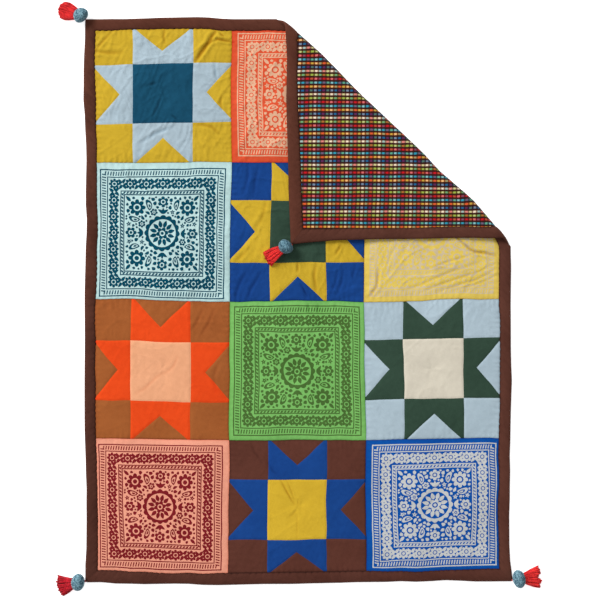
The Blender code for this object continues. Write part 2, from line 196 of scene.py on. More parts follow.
@dataclass(frozen=True)
class QuiltSizes:
    """The quilt laid flat, its loft and its fold, in metres. Across is from the left edge, up from the bottom."""

    width: float = 1.148
    length: float = 1.522
    column_seams: tuple[float, ...] = (0.028, 0.391, 0.754, 1.117)
    row_seams: tuple[float, ...] = (0.033, 0.387, 0.763, 1.134, 1.490)
    corner_rounding: float = 0.006
    seam_thickness: float = 0.005
    puff: float = 0.007
    puff_power: float = 0.5
    flap_back_puff: float = 0.6
    fold_on_top: float = 0.533
    fold_on_right: float = 0.926
    roll_radius: float = 0.010
    roll_extra_turn: float = math.radians(20.0)
    flap_clearance: float = 0.002

    @property
    def half_seam(self) -> float:
        """Half the cloth's thickness at a seam."""
        return self.seam_thickness / 2


SIZES = QuiltSizes()

# How unevenly the quilt's edges lie: place along the side from its left or lower end, then how far the
# outer edge and the seam inside it have moved outwards, all in millimetres.
LEFT_DRIFT_MM = (
    (0, 3.6, 0.0), (48, 3.5, -2.7), (90, 0.5, -3.5), (130, -0.5, -3.5), (170, -1.6, -5.0), (211, -2.2, -4.6),
    (251, -3.5, -5.4), (292, -2.7, -4.6), (332, -2.4, -5.1), (373, -1.3, -3.2), (413, 0.0, -1.9),
    (494, 0.8, -0.8), (535, 1.1, -1.6), (575, 1.3, 1.3), (656, 1.3, -0.3), (697, 1.9, 2.4), (737, 2.4, 2.7),
    (778, 2.4, -0.8), (818, 1.6, -2.4), (859, 0.8, -3.2), (899, 0.5, -2.2), (940, -1.3, -4.0),
    (980, -1.6, -3.8), (1021, 1.6, -1.1), (1061, 1.9, -0.5), (1102, 1.3, 0.0), (1142, 0.5, 0.5),
    (1183, 1.3, -0.3), (1223, 3.2, 1.9), (1264, 4.3, 1.9), (1304, 7.3, 0.8), (1345, 6.2, 2.7),
    (1385, 5.7, 3.8), (1426, 4.0, 3.0), (1466, 1.6, 1.6), (1522, 1.0, 0.0),
)
RIGHT_DRIFT_MM = (
    (0, 5.0, 0.0), (12, 3.6, 0.0), (57, -2.4, -2.2), (97, -4.3, -1.9), (138, -4.6, -3.0), (178, -4.9, -4.9),
    (219, -3.5, -4.6), (259, -3.2, -1.4), (300, -2.4, -1.4), (340, -3.5, -4.0), (381, -1.9, -2.2),
    (421, -1.3, -1.3), (462, -0.3, 0.8), (502, 1.1, 1.1), (543, 2.7, 1.1), (583, 1.1, 1.3), (624, 0.3, 2.2),
    (705, 0.3, 2.4), (745, 0.0, -0.8), (826, 0.8, -0.5), (867, 1.9, -0.5), (926, 0.0, 0.0),
    (977, -2.0, -4.0), (1085, -5.0, -4.0), (1193, -5.8, -4.0), (1301, -8.4, -6.5), (1409, -8.6, -9.0),
    (1490, -4.2, -10.5), (1522, -1.0, -9.0),
)
TOP_DRIFT_MM = (
    (0, 0.0, 0.0), (39, 0.0, 0.5), (71, 0.5, 0.5), (104, 0.3, 3.2), (136, 1.4, 5.0), (168, 2.4, 3.4),
    (201, 3.8, 5.4), (233, 4.3, 5.1), (266, 4.9, 5.7), (298, 5.4, 5.4), (330, 4.3, 5.0), (363, 1.1, -0.3),
    (395, -0.3, 0.0), (460, -0.3, -0.5), (492, 0.0, 2.0), (533, 0.0, 0.0), (605, -3.4, 2.0),
    (648, -1.8, 2.8), (700, 0.4, 3.6), (756, 3.2, 4.2), (855, 3.4, 3.0), (951, 3.6, 2.2), (1000, 4.8, 2.0),
    (1060, 4.2, 2.0), (1148, 3.2, 0.0),
)
BOTTOM_DRIFT_MM = (
    (0, 0.0, 0.0), (39, -0.5, -0.3), (79, 2.7, -0.3), (120, 2.4, 3.0), (160, 2.4, 1.9), (201, 0.3, 4.0),
    (241, -1.6, 3.8), (282, -2.4, 0.5), (322, -0.5, 2.7), (363, -0.5, 0.0), (444, -2.4, -1.0),
    (484, -3.0, -1.0), (565, -2.2, -1.0), (606, -3.0, -1.0), (687, -3.8, -1.6), (727, -5.1, -2.0),
    (768, -5.4, -2.2), (808, -5.4, -0.3), (849, -6.5, -0.8), (889, -3.8, 2.7), (930, -4.3, 1.6),
    (970, -5.7, 0.3), (1011, -3.0, 0.5), (1051, 0.0, -0.3), (1092, 0.5, -0.8), (1148, 0.0, 0.0),
)


@dataclass(frozen=True)
class Resting:
    """Puts a flat place of the quilt where it rests: on the floor, round the fold, or on the flap."""

    # How far the seam crossings have crept, in millimetres to the right and up: a row for each row
    # seam from the bottom, a pair for each column seam from the left.
    seam_creep_mm: tuple = (
        ((3.0, 2.0), (-6.5, -6.0), (4.0, -2.5), (0.5, 5.0)),
        ((-2.5, 4.0), (-3.0, -1.0), (2.0, 0.5), (0.5, 4.0)),
        ((0.0, 3.5), (-2.0, -2.0), (-3.0, -3.0), (-0.5, 4.0)),
        ((3.0, 0.0), (2.5, 1.5), (0.0, 0.0), (0.0, 0.0)),
        ((0.0, 0.0), (3.5, 0.5), (0.0, 0.0), (0.0, 0.0)),
    )
    # Bulges along the fold's edge: share of the way from its top left end, and how far it stands out.
    fold_bulges: tuple = (
        (0.00, -0.003), (0.07, 0.001), (0.16, 0.0035), (0.31, -0.0005), (0.48, 0.001),
        (0.62, 0.0025), (0.69, -0.001), (0.83, 0.005), (0.94, -0.0035), (1.00, -0.008),
    )
    # How far inside the binding the edges' drift is felt, where it stops short of the fold, where
    # it starts again past the roll, and over what length.
    drift_reach: float = 0.030
    still_before: float = 0.060
    still_after: float = 0.010
    still_fade: float = 0.050
    # Where the right seam is drawn in as it enters the fold, how far, and how wide a stretch goes with it.
    pinch_place: Pair = (1.121, 0.938)
    pinch_depth: float = 0.015
    pinch_reach: Pair = (0.018, 0.022)
    # The top left knot's place from the rounded tip of that corner, in metres.
    knot_from_tip: Pair = (-0.0015, 0.0015)

    @property
    def fold_start(self) -> Array:
        """The fold's top left end, on the quilt's top edge."""
        return np.array((SIZES.fold_on_top, SIZES.length))

    @property
    def fold_run(self) -> Array:
        """From the fold's top left end to its lower right end."""
        return np.array((SIZES.width, SIZES.fold_on_right)) - self.fold_start

    @property
    def along_fold(self) -> Array:
        """Unit direction along the fold."""
        return self.fold_run / np.linalg.norm(self.fold_run)

    @property
    def over_fold(self) -> Array:
        """Unit direction across the fold, towards the folded corner."""
        return np.array((-self.along_fold[1], self.along_fold[0]))

    @property
    def lift_inset(self) -> float:
        """How far inside the fold's edge the cloth lifts off."""
        return SIZES.roll_radius + SIZES.half_seam

    @property
    def roll_length(self) -> float:
        """Length of cloth in the roll."""
        return SIZES.roll_radius * (math.pi + SIZES.roll_extra_turn)

    @cache
    def shift(self) -> Pair:
        """How far the flat frame's corner lies from the world's origin, read from the knot at the top left.

        Returns:
            The shift right and up.
        """
        low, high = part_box("tie_top_left")
        knot = (low + high) / 2
        tip = self.unshifted(np.zeros(1), np.full(1, SIZES.length), np.zeros(1))[0]
        return knot.x - tip[0] - self.knot_from_tip[0], knot.y - tip[1] - self.knot_from_tip[1]

    def creep(self, across: Array, up: Array) -> tuple[Array, Array]:
        """How far the cloth has crept with the seam crossings.

        Args:
            across: flat places across.
            up: flat places up.

        Returns:
            The creep to the right and up.
        """
        table = np.array(self.seam_creep_mm) * MM
        column, right, _ = seam_cell(across, SIZES.column_seams)
        row, above, _ = seam_cell(up, SIZES.row_seams)
        corners = tuple(table[row + down, column + aside] for down in (0, 1) for aside in (0, 1))
        moved = mixed(corners, smooth_step(right)[..., None], smooth_step(above)[..., None])
        return moved[..., 0], moved[..., 1]

    def drift(self, across: Array, up: Array) -> tuple[Array, Array]:
        """How far the cloth has moved sideways near the uneven edges, fading into the patchwork.

        Args:
            across: flat places across.
            up: flat places up.

        Returns:
            The drift to the right and up.
        """
        right, higher = np.zeros(np.shape(across)), np.zeros(np.shape(up))
        sides = (
            (LEFT_DRIFT_MM, up, across, SIZES.column_seams[0], right, -1.0),
            (RIGHT_DRIFT_MM, up, SIZES.width - across, SIZES.width - SIZES.column_seams[-1], right, 1.0),
            (BOTTOM_DRIFT_MM, across, up, SIZES.row_seams[0], higher, -1.0),
            (TOP_DRIFT_MM, across, SIZES.length - up, SIZES.length - SIZES.row_seams[-1], higher, 1.0),
        )
        for table, along, gap, width, moved, way in sides:
            places, outer, inner = np.array(table).T * MM
            at_outer, at_inner = np.interp(along, places, outer), np.interp(along, places, inner)
            share = np.clip(gap / width, 0.0, 1.0)
            fade = np.exp(-np.maximum(gap - width, 0.0) / self.drift_reach)
            moved += way * (at_outer * (1 - share) + at_inner * share) * fade
        past = self.roll_distance(across, up)
        before = smooth_step((past + self.still_before) / self.still_fade)
        after = smooth_step((past - self.roll_length - self.still_after) / self.still_fade)
        free = 1 - before + after
        aside = (across - self.pinch_place[0]) / self.pinch_reach[0]
        along = (up - self.pinch_place[1]) / self.pinch_reach[1]
        return right * free - self.pinch_depth * np.exp(-aside**2 - along**2), higher * free

    def roll_distance(self, across: Array, up: Array) -> Array:
        """Distance past the line where the cloth lifts off into the fold."""
        start, over = self.fold_start, self.over_fold
        return (across - start[0]) * over[0] + (up - start[1]) * over[1] + self.lift_inset

    def turned_share(self, across: Array, up: Array) -> Array:
        """0 on the flat quilt, 1 on the turned-over flap."""
        return smooth_step(self.roll_distance(across, up) / self.roll_length)

    def fold_section(self, distance: Array) -> tuple[Array, Array, Array]:
        """Mid-cloth's place past the lift-off line, its rise, and its angle.

        Args:
            distance: lengths of cloth past the lift-off line.

        Returns:
            Place, rise and angle.
        """
        radius, extra, turn = SIZES.roll_radius, SIZES.roll_extra_turn, math.pi + SIZES.roll_extra_turn
        flap_rise = SIZES.seam_thickness + SIZES.puff + SIZES.flap_clearance
        settle = (radius * (1 + math.cos(extra)) - flap_rise) / (1 - math.cos(extra))
        rolled = np.clip(distance / radius, 0.0, turn)
        back = np.clip((distance - self.roll_length) / settle, 0.0, extra)
        straight = np.maximum(distance - self.roll_length - settle * extra, 0.0)
        out = np.minimum(distance, 0.0) + radius * np.sin(rolled)
        out -= settle * (math.sin(extra) - np.sin(extra - back)) + straight
        rise = radius * (1 - np.cos(rolled)) - settle * (np.cos(extra - back) - math.cos(extra))
        return out, rise, rolled - back

    def round_corner(self, across: Array, up: Array) -> tuple[Array, Array]:
        """Draw places near the four sharp corners in to rounded ones.

        Args:
            across: flat places across.
            up: flat places up.

        Returns:
            The same places, with those of the corners moved.
        """
        rounding = SIZES.corner_rounding
        middle_x = np.clip(across, rounding, SIZES.width - rounding)
        middle_y = np.clip(up, rounding, SIZES.length - rounding)
        dx, dy = across - middle_x, up - middle_y
        share = np.maximum(abs(dx), abs(dy)) / np.maximum(np.hypot(dx, dy), TINY)
        return middle_x + dx * share, middle_y + dy * share

    def unshifted(self, across: Array, up: Array, above: Array) -> Array:
        """Rest points of the cloth, from the flat frame's corner.

        Args:
            across: flat places across.
            up: flat places up.
            above: heights above mid-cloth, on the patchwork side.

        Returns:
            Points, one row each.
        """
        across, up = self.round_corner(np.asarray(across, float), np.asarray(up, float))
        distance = self.roll_distance(across, up)
        right, higher = self.creep(across, up)
        aside, outward = self.drift(across, up)
        flat_x, flat_y = across + right + aside, up + higher + outward
        start, along_way, over_way = self.fold_start, self.along_fold, self.over_fold
        along = (flat_x - start[0]) * along_way[0] + (flat_y - start[1]) * along_way[1]
        moved = np.where(distance > 0, aside * over_way[0] + outward * over_way[1], 0.0)
        out, rise, angle = self.fold_section(distance + moved)
        shares, bulges = np.array(self.fold_bulges).T
        bulge = np.interp(along / np.linalg.norm(self.fold_run), shares, bulges)
        over = out - above * np.sin(angle) + bulge * np.maximum(np.sin(angle), 0.0) - self.lift_inset
        flat = distance <= 0
        x = np.where(flat, flat_x, start[0] + along_way[0] * along + over_way[0] * over)
        y = np.where(flat, flat_y, start[1] + along_way[1] * along + over_way[1] * over)
        z = SIZES.half_seam + rise + above * np.cos(angle)
        return np.stack((x, y, z), axis=-1)

    def lie(self, across: Array, up: Array, above: Array) -> Array:
        """World points of the cloth at rest, for flat places and heights above mid-cloth."""
        return self.unshifted(across, up, above) + np.array((*self.shift(), 0.0))


RESTING = Resting()

# Creases and hollows in the patchwork: depth and half width in millimetres, then the flat points
# that each one follows, in millimetres from the quilt's lower left corner.
CREASES_MM = (
    (-0.9, 3.5, ((30, 1438), (47, 1461), (68, 1485))),
    (-0.7, 6.0, ((31, 1436), (60, 1431), (96, 1430))),
    (-2.3, 5.0, ((293, 1407), (322, 1447), (347, 1485))),
    (-1.6, 4.0, ((329, 1453), (352, 1466), (398, 1458))),
    (-1.2, 3.0, ((357, 1485), (371, 1472))),
    (-0.8, 4.0, ((212, 1493), (209, 1472), (212, 1453))),
    (-0.9, 3.5, ((201, 1312), (193, 1285), (178, 1259))),
    (-0.7, 3.5, ((163, 1342), (190, 1350))),
    (-0.7, 3.5, ((231, 1261), (244, 1250))),
    (-0.7, 4.0, ((344, 1401), (347, 1380), (352, 1355))),
    (-0.7, 4.0, ((366, 1315), (363, 1296), (366, 1277))),
    (-0.8, 5.0, ((150, 1191), (190, 1215), (233, 1231))),
    (-0.8, 5.0, ((293, 1237), (317, 1237), (341, 1231), (357, 1215))),
    (-0.8, 4.5, ((625, 862), (619, 830), (624, 786))),
    (-0.6, 4.5, ((404, 770), (414, 806), (440, 850))),
    (-0.6, 4.5, ((436, 768), (446, 796), (474, 840))),
    (-0.55, 5.0, ((433, 1130), (434, 1096), (423, 1052))),
    (-0.55, 5.0, ((462, 1118), (452, 1082), (450, 1044))),
    (-0.5, 5.0, ((486, 1034), (480, 1002), (468, 966))),
    (-0.5, 5.0, ((446, 912), (426, 888), (408, 872))),
    (-0.55, 4.0, ((698, 846), (692, 812), (678, 780))),
    (-0.5, 4.0, ((730, 858), (722, 824))),
    (-0.5, 4.5, ((566, 986), (572, 950), (560, 918))),
    (-0.45, 4.0, ((660, 778), (676, 812), (682, 846))),
    (-0.9, 3.5, ((576, 867), (576, 842))),
    (-0.9, 3.5, ((676, 888), (692, 913))),
    (-0.8, 3.5, ((584, 805), (598, 778))),
    (-1.4, 4.0, ((1003, 932), (1038, 899), (1054, 891), (1081, 888), (1108, 880))),
    (-1.0, 4.5, ((794, 844), (789, 805), (765, 775))),
    (-0.35, 4.5, ((138, 508), (162, 522), (192, 552), (220, 572))),
    (-0.35, 4.0, ((216, 560), (240, 586), (250, 610))),
    (-0.45, 4.5, ((288, 684), (302, 706), (320, 742))),
    (-0.45, 4.5, ((310, 668), (332, 700), (350, 742))),
    (-0.35, 5.0, ((352, 520), (346, 560), (360, 600))),
    (-1.0, 3.0, ((603, 753), (603, 732))),
    (-1.0, 3.0, ((629, 753), (629, 732))),
    (-0.95, 2.8, ((529, 280), (546, 248), (567, 214))),
    (-0.55, 2.4, ((545, 280), (558, 248), (569, 216))),
    (-0.60, 2.6, ((576, 230), (573, 208))),
    (-0.35, 3.0, ((552, 181), (571, 202))),
    (-0.30, 2.5, ((572, 194), (572, 119))),
    (-0.35, 5.0, ((449, 378), (457, 354), (476, 329))),
    (-0.35, 5.0, ((495, 327), (506, 305), (525, 292))),
    (-0.45, 4.0, ((862, 792), (920, 812), (975, 833), (1067, 866))),
    (-0.50, 3.6, ((905, 786), (965, 806), (1024, 825), (1103, 858))),
    (-0.50, 3.6, ((950, 782), (1000, 799), (1046, 812), (1106, 842))),
    (-0.45, 3.2, ((1010, 790), (1060, 806), (1108, 826))),
    (-0.45, 3.2, ((925, 848), (985, 868), (1040, 884))),
)


@dataclass(frozen=True)
class Loft:
    """How thick the padding stands at a flat place, with its tacks, creases and puckers, in metres."""

    # The tack in each block's middle: its dimple, and the folds that run from it as waves round it,
    # each with its count, its shift from block to block and its size.
    tack_depth: float = 0.0038
    tack_reach: float = 0.030
    ray_waves: tuple = ((5, 1.7, 1.0), (3, 2.9, 0.7))
    ray_depth: float = 0.0006
    ray_reach: float = 0.050
    ray_start: float = 0.012
    # Slow unevenness: cell, height and seed of each layer.
    uneven: tuple = ((0.075, 0.0011, 11), (0.034, 0.0008, 12), (0.015, 0.00032, 13))
    pucker_pitch: float = 0.0155
    pucker_depth: float = 0.0014
    pucker_reach: float = 0.015
    pucker_cells: Pair = (0.04, 0.05)
    # Folds left from storage: their size, depth, and how thin each ridge is; then their directions.
    crumple_layers: tuple = ((0.036, 0.0010, 0.10), (0.016, 0.0004, 0.20))
    crumple_ways: tuple[float, ...] = (0.7, 2.2, 1.3)
    crumple_stretch: float = 0.45
    crumple_bend: float = 0.33
    crumple_patch: float = 0.090
    # Fine wrinkles: their direction in radians, half their pitch, their length and their height.
    wrinkle_layers: tuple = ((1.18, 0.0060, 0.044, 0.00062), (1.80, 0.0048, 0.034, 0.00036))
    wrinkle_bend: float = 0.9
    wrinkle_cells: Pair = (0.045, 0.080)
    # How the cloth's lines wander: cell and size of each layer, and where that fades out.
    wander_size: tuple = ((0.110, 0.0020), (0.038, 0.0010))
    wander_fade: float = 0.030
    # A placed crease: how far it is felt in half widths, then the low rise at its sides as its size
    # and its place, how much deeper its middle is cut than its mean, and where its ends are blunt.
    crease_felt: float = 4.0
    crease_rise: Pair = (0.45, 1.9)
    crease_cut: float = 2.1
    crease_ends: Pair = (0.06, 0.94)
    # How crumpled each row of blocks lies: the row's middle, and a factor on its folds.
    crumpled_rows: tuple = ((0.21, 0.45), (0.57, 0.45), (0.95, 1.35), (1.31, 1.40))
    # What that factor does to the tacks and creases, and to the gathers: a least share and a rate.
    calm: Pair = (0.55, 0.40)
    gathered: Pair = (0.2, 0.65)
    seam_fade: float = 0.010
    # How deep a crease is painted fully in shade, and how far a seam's painted shade reaches.
    shade_depth: float = 0.0026
    shade_reach: float = 0.0016

    def crumpled(self, up: Array) -> Array:
        """How crumpled the cloth lies at each height."""
        places, factors = np.array(self.crumpled_rows).T
        return np.interp(up, places, factors)

    def crown(self, x: Array, y: Array) -> Array:
        """How far a block's padding has risen at shares of the way across and up it, from 0 to 1."""
        return np.maximum(np.sin(math.pi * x) * np.sin(math.pi * y), 0.0) ** SIZES.puff_power

    def unevenness(self, across: Array, up: Array, start: int = 0) -> Array:
        """Heights of the wadding's slow unevenness, from seeds that begin at start."""
        return sum(size * lattice_noise(across, up, cell, seed + start) for cell, size, seed in self.uneven)

    def tack(self, x: Array, y: Array, block: Array) -> Array:
        """Dimple of a tack stitch and the short folds that run from it.

        Args:
            x: places right of the tack.
            y: places above it.
            block: number of the block, which turns its folds.

        Returns:
            Heights, below zero in the dimple.
        """
        reach = np.hypot(x, y)
        turn = np.arctan2(y, x)
        folds = sum(size * np.sin(count * turn + shift * block) for count, shift, size in self.ray_waves)
        fade = np.exp(-((reach / self.ray_reach) ** 2)) * smooth_step(reach / self.ray_start)
        return -self.tack_depth * np.exp(-((reach / self.tack_reach) ** 2)) + self.ray_depth * folds * fade

    def puckers(self, along: Array, gap: Array, seam: Array) -> Array:
        """Small gathers where the cloth meets a seam.

        Args:
            along: places along the seam.
            gap: distances from the seam.
            seam: number of the seam, which shifts them.

        Returns:
            Heights.
        """
        wander = 0.5 * lattice_noise(along, along * 0 + 0.013 * seam, self.pucker_cells[0], Seed.PUCKER_PLACE)
        wave = np.cos(2 * math.pi * (along / self.pucker_pitch + wander) + seam)
        size = 0.5 + 0.5 * lattice_noise(along, along * 0 + 0.021 * seam, self.pucker_cells[1], Seed.PUCKER_SIZE)
        return self.pucker_depth * wave * size * np.exp(-gap / self.pucker_reach)

    def crumples(self, across: Array, up: Array) -> Array:
        """Faint folds left from storage: thin ridges that wander and fade in and out.

        Args:
            across: flat places across.
            up: flat places up.

        Returns:
            Heights.
        """
        total = np.zeros(np.shape(across))
        for layer, (cell, depth, thin) in enumerate(self.crumple_layers):
            for number, way in enumerate(self.crumple_ways):
                seed = number + 5 * layer
                u = across * math.cos(way) + up * math.sin(way)
                v = (up * math.cos(way) - across * math.sin(way)) * self.crumple_stretch
                bent = self.crumple_bend * cell * lattice_noise(u, v, 1.4 * cell, Seed.FOLD_BEND + seed)
                field_height = lattice_noise(u + bent, v - bent, cell, Seed.FOLD_HEIGHT + seed)
                patchy = smooth_step(0.5 + 1.3 * lattice_noise(u, v, self.crumple_patch, Seed.FOLD_PATCH + seed))
                total += depth * patchy * (np.exp(-((field_height / thin) ** 2)) - 1.5 * thin)
        return total * self.crumpled(up)

    def wrinkles(self, across: Array, up: Array) -> Array:
        """Fine wrinkles across the slack cloth, most of them steep, in patches.

        Args:
            across: flat places across.
            up: flat places up.

        Returns:
            Heights.
        """
        total = np.zeros(np.shape(across))
        bend_cell, patch_cell = self.wrinkle_cells
        for number, (way, pitch, length, height) in enumerate(self.wrinkle_layers):
            along = across * math.cos(way) + up * math.sin(way)
            aside = across * math.sin(way) - up * math.cos(way)
            bent = self.wrinkle_bend * pitch * lattice_noise(along, aside, bend_cell, Seed.WRINKLE_BEND + number)
            patchy = smooth_step(0.45 + 1.2 * lattice_noise(across, up, patch_cell, Seed.WRINKLE_PATCH + number))
            ridges = lattice_noise(aside + bent, along * pitch / length, pitch, Seed.WRINKLE_HEIGHT + number)
            total += height * patchy * ridges
        return total * self.crumpled(up)

    def wander(self, across: Array, up: Array) -> Array:
        """How far the cloth's own lines stray from straight, fading out under the binding.

        Args:
            across: flat places across.
            up: flat places up.

        Returns:
            Moves to the right and up, one row for each place.
        """
        columns, rows = SIZES.column_seams, SIZES.row_seams
        gap = np.minimum(np.minimum(across - columns[0], columns[-1] - across),
                         np.minimum(up - rows[0], rows[-1] - up))
        fade = smooth_step(gap / self.wander_fade)
        moves = [sum(size * lattice_noise(across, up, cell, seed + index) for index, (cell, size)
                     in enumerate(self.wander_size)) * fade for seed in (Seed.WANDER_RIGHT, Seed.WANDER_UP)]
        return np.stack(moves, axis=-1)

    def creases(self, across: Array, up: Array) -> Array:
        """The placed creases: each a soft trough with a low rise at both sides.

        Args:
            across: flat places across.
            up: flat places up.

        Returns:
            Heights.
        """
        total = np.zeros(np.shape(across))
        rise, rise_place = self.crease_rise
        for depth, half_width, path in CREASES_MM:
            points = np.array(path) * MM
            reach = half_width * MM
            felt = self.crease_felt * reach
            low, high = points.min(axis=0) - felt, points.max(axis=0) + felt
            near = (across > low[0]) & (across < high[0]) & (up > low[1]) & (up < high[1])
            if not near.any():
                continue
            gap, share = distance_to_path(across[near], up[near], points)
            section = np.exp(-((gap / reach) ** 2)) - rise * np.exp(-(((gap - rise_place * reach) / reach) ** 2))
            ends = np.sin(math.pi * np.clip(share, *self.crease_ends)) ** 0.5
            total[near] += self.crease_cut * depth * MM * section * ends
        return total

    def front(self, across: Array, up: Array) -> tuple[Array, Array]:
        """Height of the patchwork above mid-cloth.

        Args:
            across: flat places across.
            up: flat places up.

        Returns:
            The heights, and the painted shade of each place in its creases and along its seams, from 0 to 1.
        """
        column, x, width = seam_cell(across, SIZES.column_seams)
        row, y, height = seam_cell(up, SIZES.row_seams)
        tacked = self.tack((x - 0.5) * width, (y - 0.5) * height, 3 * row + column)
        gap_x, gap_y = np.minimum(x, 1 - x) * width, np.minimum(y, 1 - y) * height
        seam_gap = np.minimum(gap_x, gap_y)
        gathered = self.puckers(up, gap_x, 1.0 + column) + self.puckers(across, gap_y, 5.0 + row)
        creased = self.creases(across, up)
        crumpled = self.crumpled(up)
        calm = np.minimum(self.calm[0] + self.calm[1] * crumpled, 1.0)
        slack = self.crumples(across, up) + self.wrinkles(across, up)
        inside = np.where(np.minimum(x, y) * np.minimum(1 - x, 1 - y) > 0, 1.0, 0.0)
        moved = (tacked + self.unevenness(across, up) + creased) * calm + slack
        moved = moved * smooth_step(seam_gap / self.seam_fade)
        moved = moved + gathered * (self.gathered[0] + self.gathered[1] * crumpled) * inside
        loft = np.maximum(SIZES.puff * self.crown(x, y) + moved, 0.0)
        # Painted shade: darker in the creases and along the seams.
        painted_shade = np.clip(-creased / self.shade_depth, 0.0, 1.0) + np.exp(-seam_gap / self.shade_reach)
        turned_over = RESTING.turned_share(across, up)
        return SIZES.half_seam + loft * (1 - turned_over), np.clip(painted_shade, 0.0, 1.0)

    def back(self, across: Array, up: Array) -> Array:
        """Depth of the backing below mid-cloth, which stands out on the turned-over flap.

        Args:
            across: flat places across.
            up: flat places up.

        Returns:
            The depths.
        """
        _, x, _ = seam_cell(across, SIZES.column_seams)
        _, y, _ = seam_cell(up, SIZES.row_seams)
        crown = self.crown(x, y)
        uneven = self.unevenness(across, up, Seed.UNDERSIDE)
        loft = np.maximum(SIZES.puff * SIZES.flap_back_puff * crown + uneven * crown, 0.0)
        return SIZES.half_seam + loft * RESTING.turned_share(across, up)


LOFT = Loft()


# A shape drawn on the cloth: its paint or patch number, and its outline.
Shape = tuple[int, Array]
# Places of the close grid lines along a block's edges.
EDGE_LINES = (0.0008, 0.0022, 0.0042)
# Drawn points closer than this become one.
JOIN_GAP = 1e-6


@dataclass
class FlatPlan:
    """A piece of cloth laid out flat: points, triangles and the paint or patch of each triangle."""

    points: Array
    triangles: Array
    paints: Array


def even_lines(length: float, spacing: float) -> Array:
    """Grid lines across a piece, closer together at both its edges.

    Args:
        length: the piece's width or height.
        spacing: distance between lines away from the edges.

    Returns:
        The lines' places.
    """
    inner = np.linspace(EDGE_LINES[-1], length - EDGE_LINES[-1], max(int(round(length / spacing)), 2))
    ends = np.array(EDGE_LINES[:-1])
    return np.concatenate(((0.0,), ends, inner, length - ends[::-1], (length,)))


def finely_cut(outline: Array, spacing: float) -> Array:
    """Run an outline anticlockwise and add points, so that none of its sides is long.

    Args:
        outline: its points.
        spacing: the longest that a side may be.

    Returns:
        The outline's points, in order.
    """
    ahead = np.roll(outline, -1, axis=0)
    if (outline[:, 0] * ahead[:, 1] - ahead[:, 0] * outline[:, 1]).sum() < 0:
        outline = outline[::-1]
    pieces = []
    for start, end in zip(outline, np.roll(outline, -1, axis=0)):
        steps = max(int(math.ceil(np.linalg.norm(end - start) / spacing)), 1)
        pieces.append(start + (end - start) * (np.arange(steps) / steps)[:, None])
    return np.concatenate(pieces)


def flat_plan(width: float, height: float, shapes: list[Shape], spacing: float, clearance: float) -> FlatPlan:
    """Triangulate a rectangle along the outlines of the shapes drawn on it.

    Args:
        width: the rectangle's width.
        height: its height.
        shapes: paint number and outline of each shape, later ones over earlier ones.
        spacing: distance between the grid's points.
        clearance: how close to an outline a grid point may lie.

    Returns:
        The plan, with its corner at zero.
    """
    shapes = [(paint, finely_cut(outline, spacing)) for paint, outline in shapes]
    columns, rows = even_lines(width, spacing), even_lines(height, spacing)
    x, y = (grid.ravel() for grid in np.meshgrid(columns, rows))
    rim = (x == 0) | (x == width) | (y == 0) | (y == height)
    clear = np.ones(len(x), bool)
    for _, outline in shapes:
        low, high = outline.min(axis=0) - clearance, outline.max(axis=0) + clearance
        near = np.flatnonzero((x > low[0]) & (x < high[0]) & (y > low[1]) & (y < high[1]) & ~rim)
        if len(near):
            gap, _ = distance_to_path(x[near], y[near], np.vstack((outline, outline[:1])))
            clear[near[gap < clearance]] = False
    edge_points = np.stack((x[rim], y[rim]), axis=1)
    turn = np.arctan2(edge_points[:, 1] - height / 2, edge_points[:, 0] - width / 2)
    edge_points = edge_points[np.argsort(turn)]
    inner = np.stack((x[~rim & clear], y[~rim & clear]), axis=1)
    points = [Vector(point) for point in edge_points] + [Vector(point) for point in inner]
    faces = [list(range(len(edge_points)))]
    for _, outline in shapes:
        faces.append(list(range(len(points), len(points) + len(outline))))
        points += [Vector(point) for point in outline]
    only_inside = 1
    joined, _, triangles, _, _, origins = geometry.delaunay_2d_cdt(points, [], faces, only_inside, JOIN_GAP)
    paints = [0] + [paint for paint, _ in shapes]
    chosen = [paints[max(sources)] if sources else 0 for sources in origins]
    return FlatPlan(np.array([tuple(point) for point in joined]), np.array(triangles), np.array(chosen))


def grid_faces(rows: int, columns: int) -> Array:
    """Four-sided faces over rows of points, anticlockwise where the columns run right and the rows up."""
    first = (np.arange(rows - 1)[:, None] * columns + np.arange(columns - 1)[None]).ravel()
    return np.stack((first, first + 1, first + columns + 1, first + columns), axis=1)


def add_maps(mesh: bpy.types.Mesh, maps: dict[str, Array]) -> None:
    """Give a mesh its maps: the flat one in metres, and one from 0 to 1 for baked textures.

    Args:
        mesh: the mesh.
        maps: place of each point on each map.
    """
    corners = np.empty(len(mesh.loops), dtype=np.int32)
    mesh.loops.foreach_get("vertex_index", corners)
    for name, places in maps.items():
        layer = mesh.uv_layers.new(name=name)
        layer.data.foreach_set("uv", places[corners].astype(np.float32).ravel())


def add_values(mesh: bpy.types.Mesh, name: str, values: Array) -> None:
    """Store one number for each point of a mesh."""
    layer = mesh.attributes.new(name=name, type="FLOAT", domain="POINT")
    layer.data.foreach_set("value", np.asarray(values, np.float32))


def new_piece(name: str, points: Array, faces: Array, materials: list,
              slots: Array | None = None) -> bpy.types.Object:
    """Make a smooth-shaded object.

    Args:
        name: the piece's name.
        points: its points.
        faces: point numbers of each face.
        materials: its materials.
        slots: material number of each face.

    Returns:
        The object, in the scene.
    """
    mesh = bpy.data.meshes.new(name)
    mesh.from_pydata(points.tolist(), [], faces.tolist())
    for material in materials:
        mesh.materials.append(material)
    if slots is not None:
        mesh.polygons.foreach_set("material_index", np.asarray(slots, np.int32))
    mesh.shade_smooth()
    item = bpy.data.objects.new(name, mesh)
    bpy.context.scene.collection.objects.link(item)
    return item


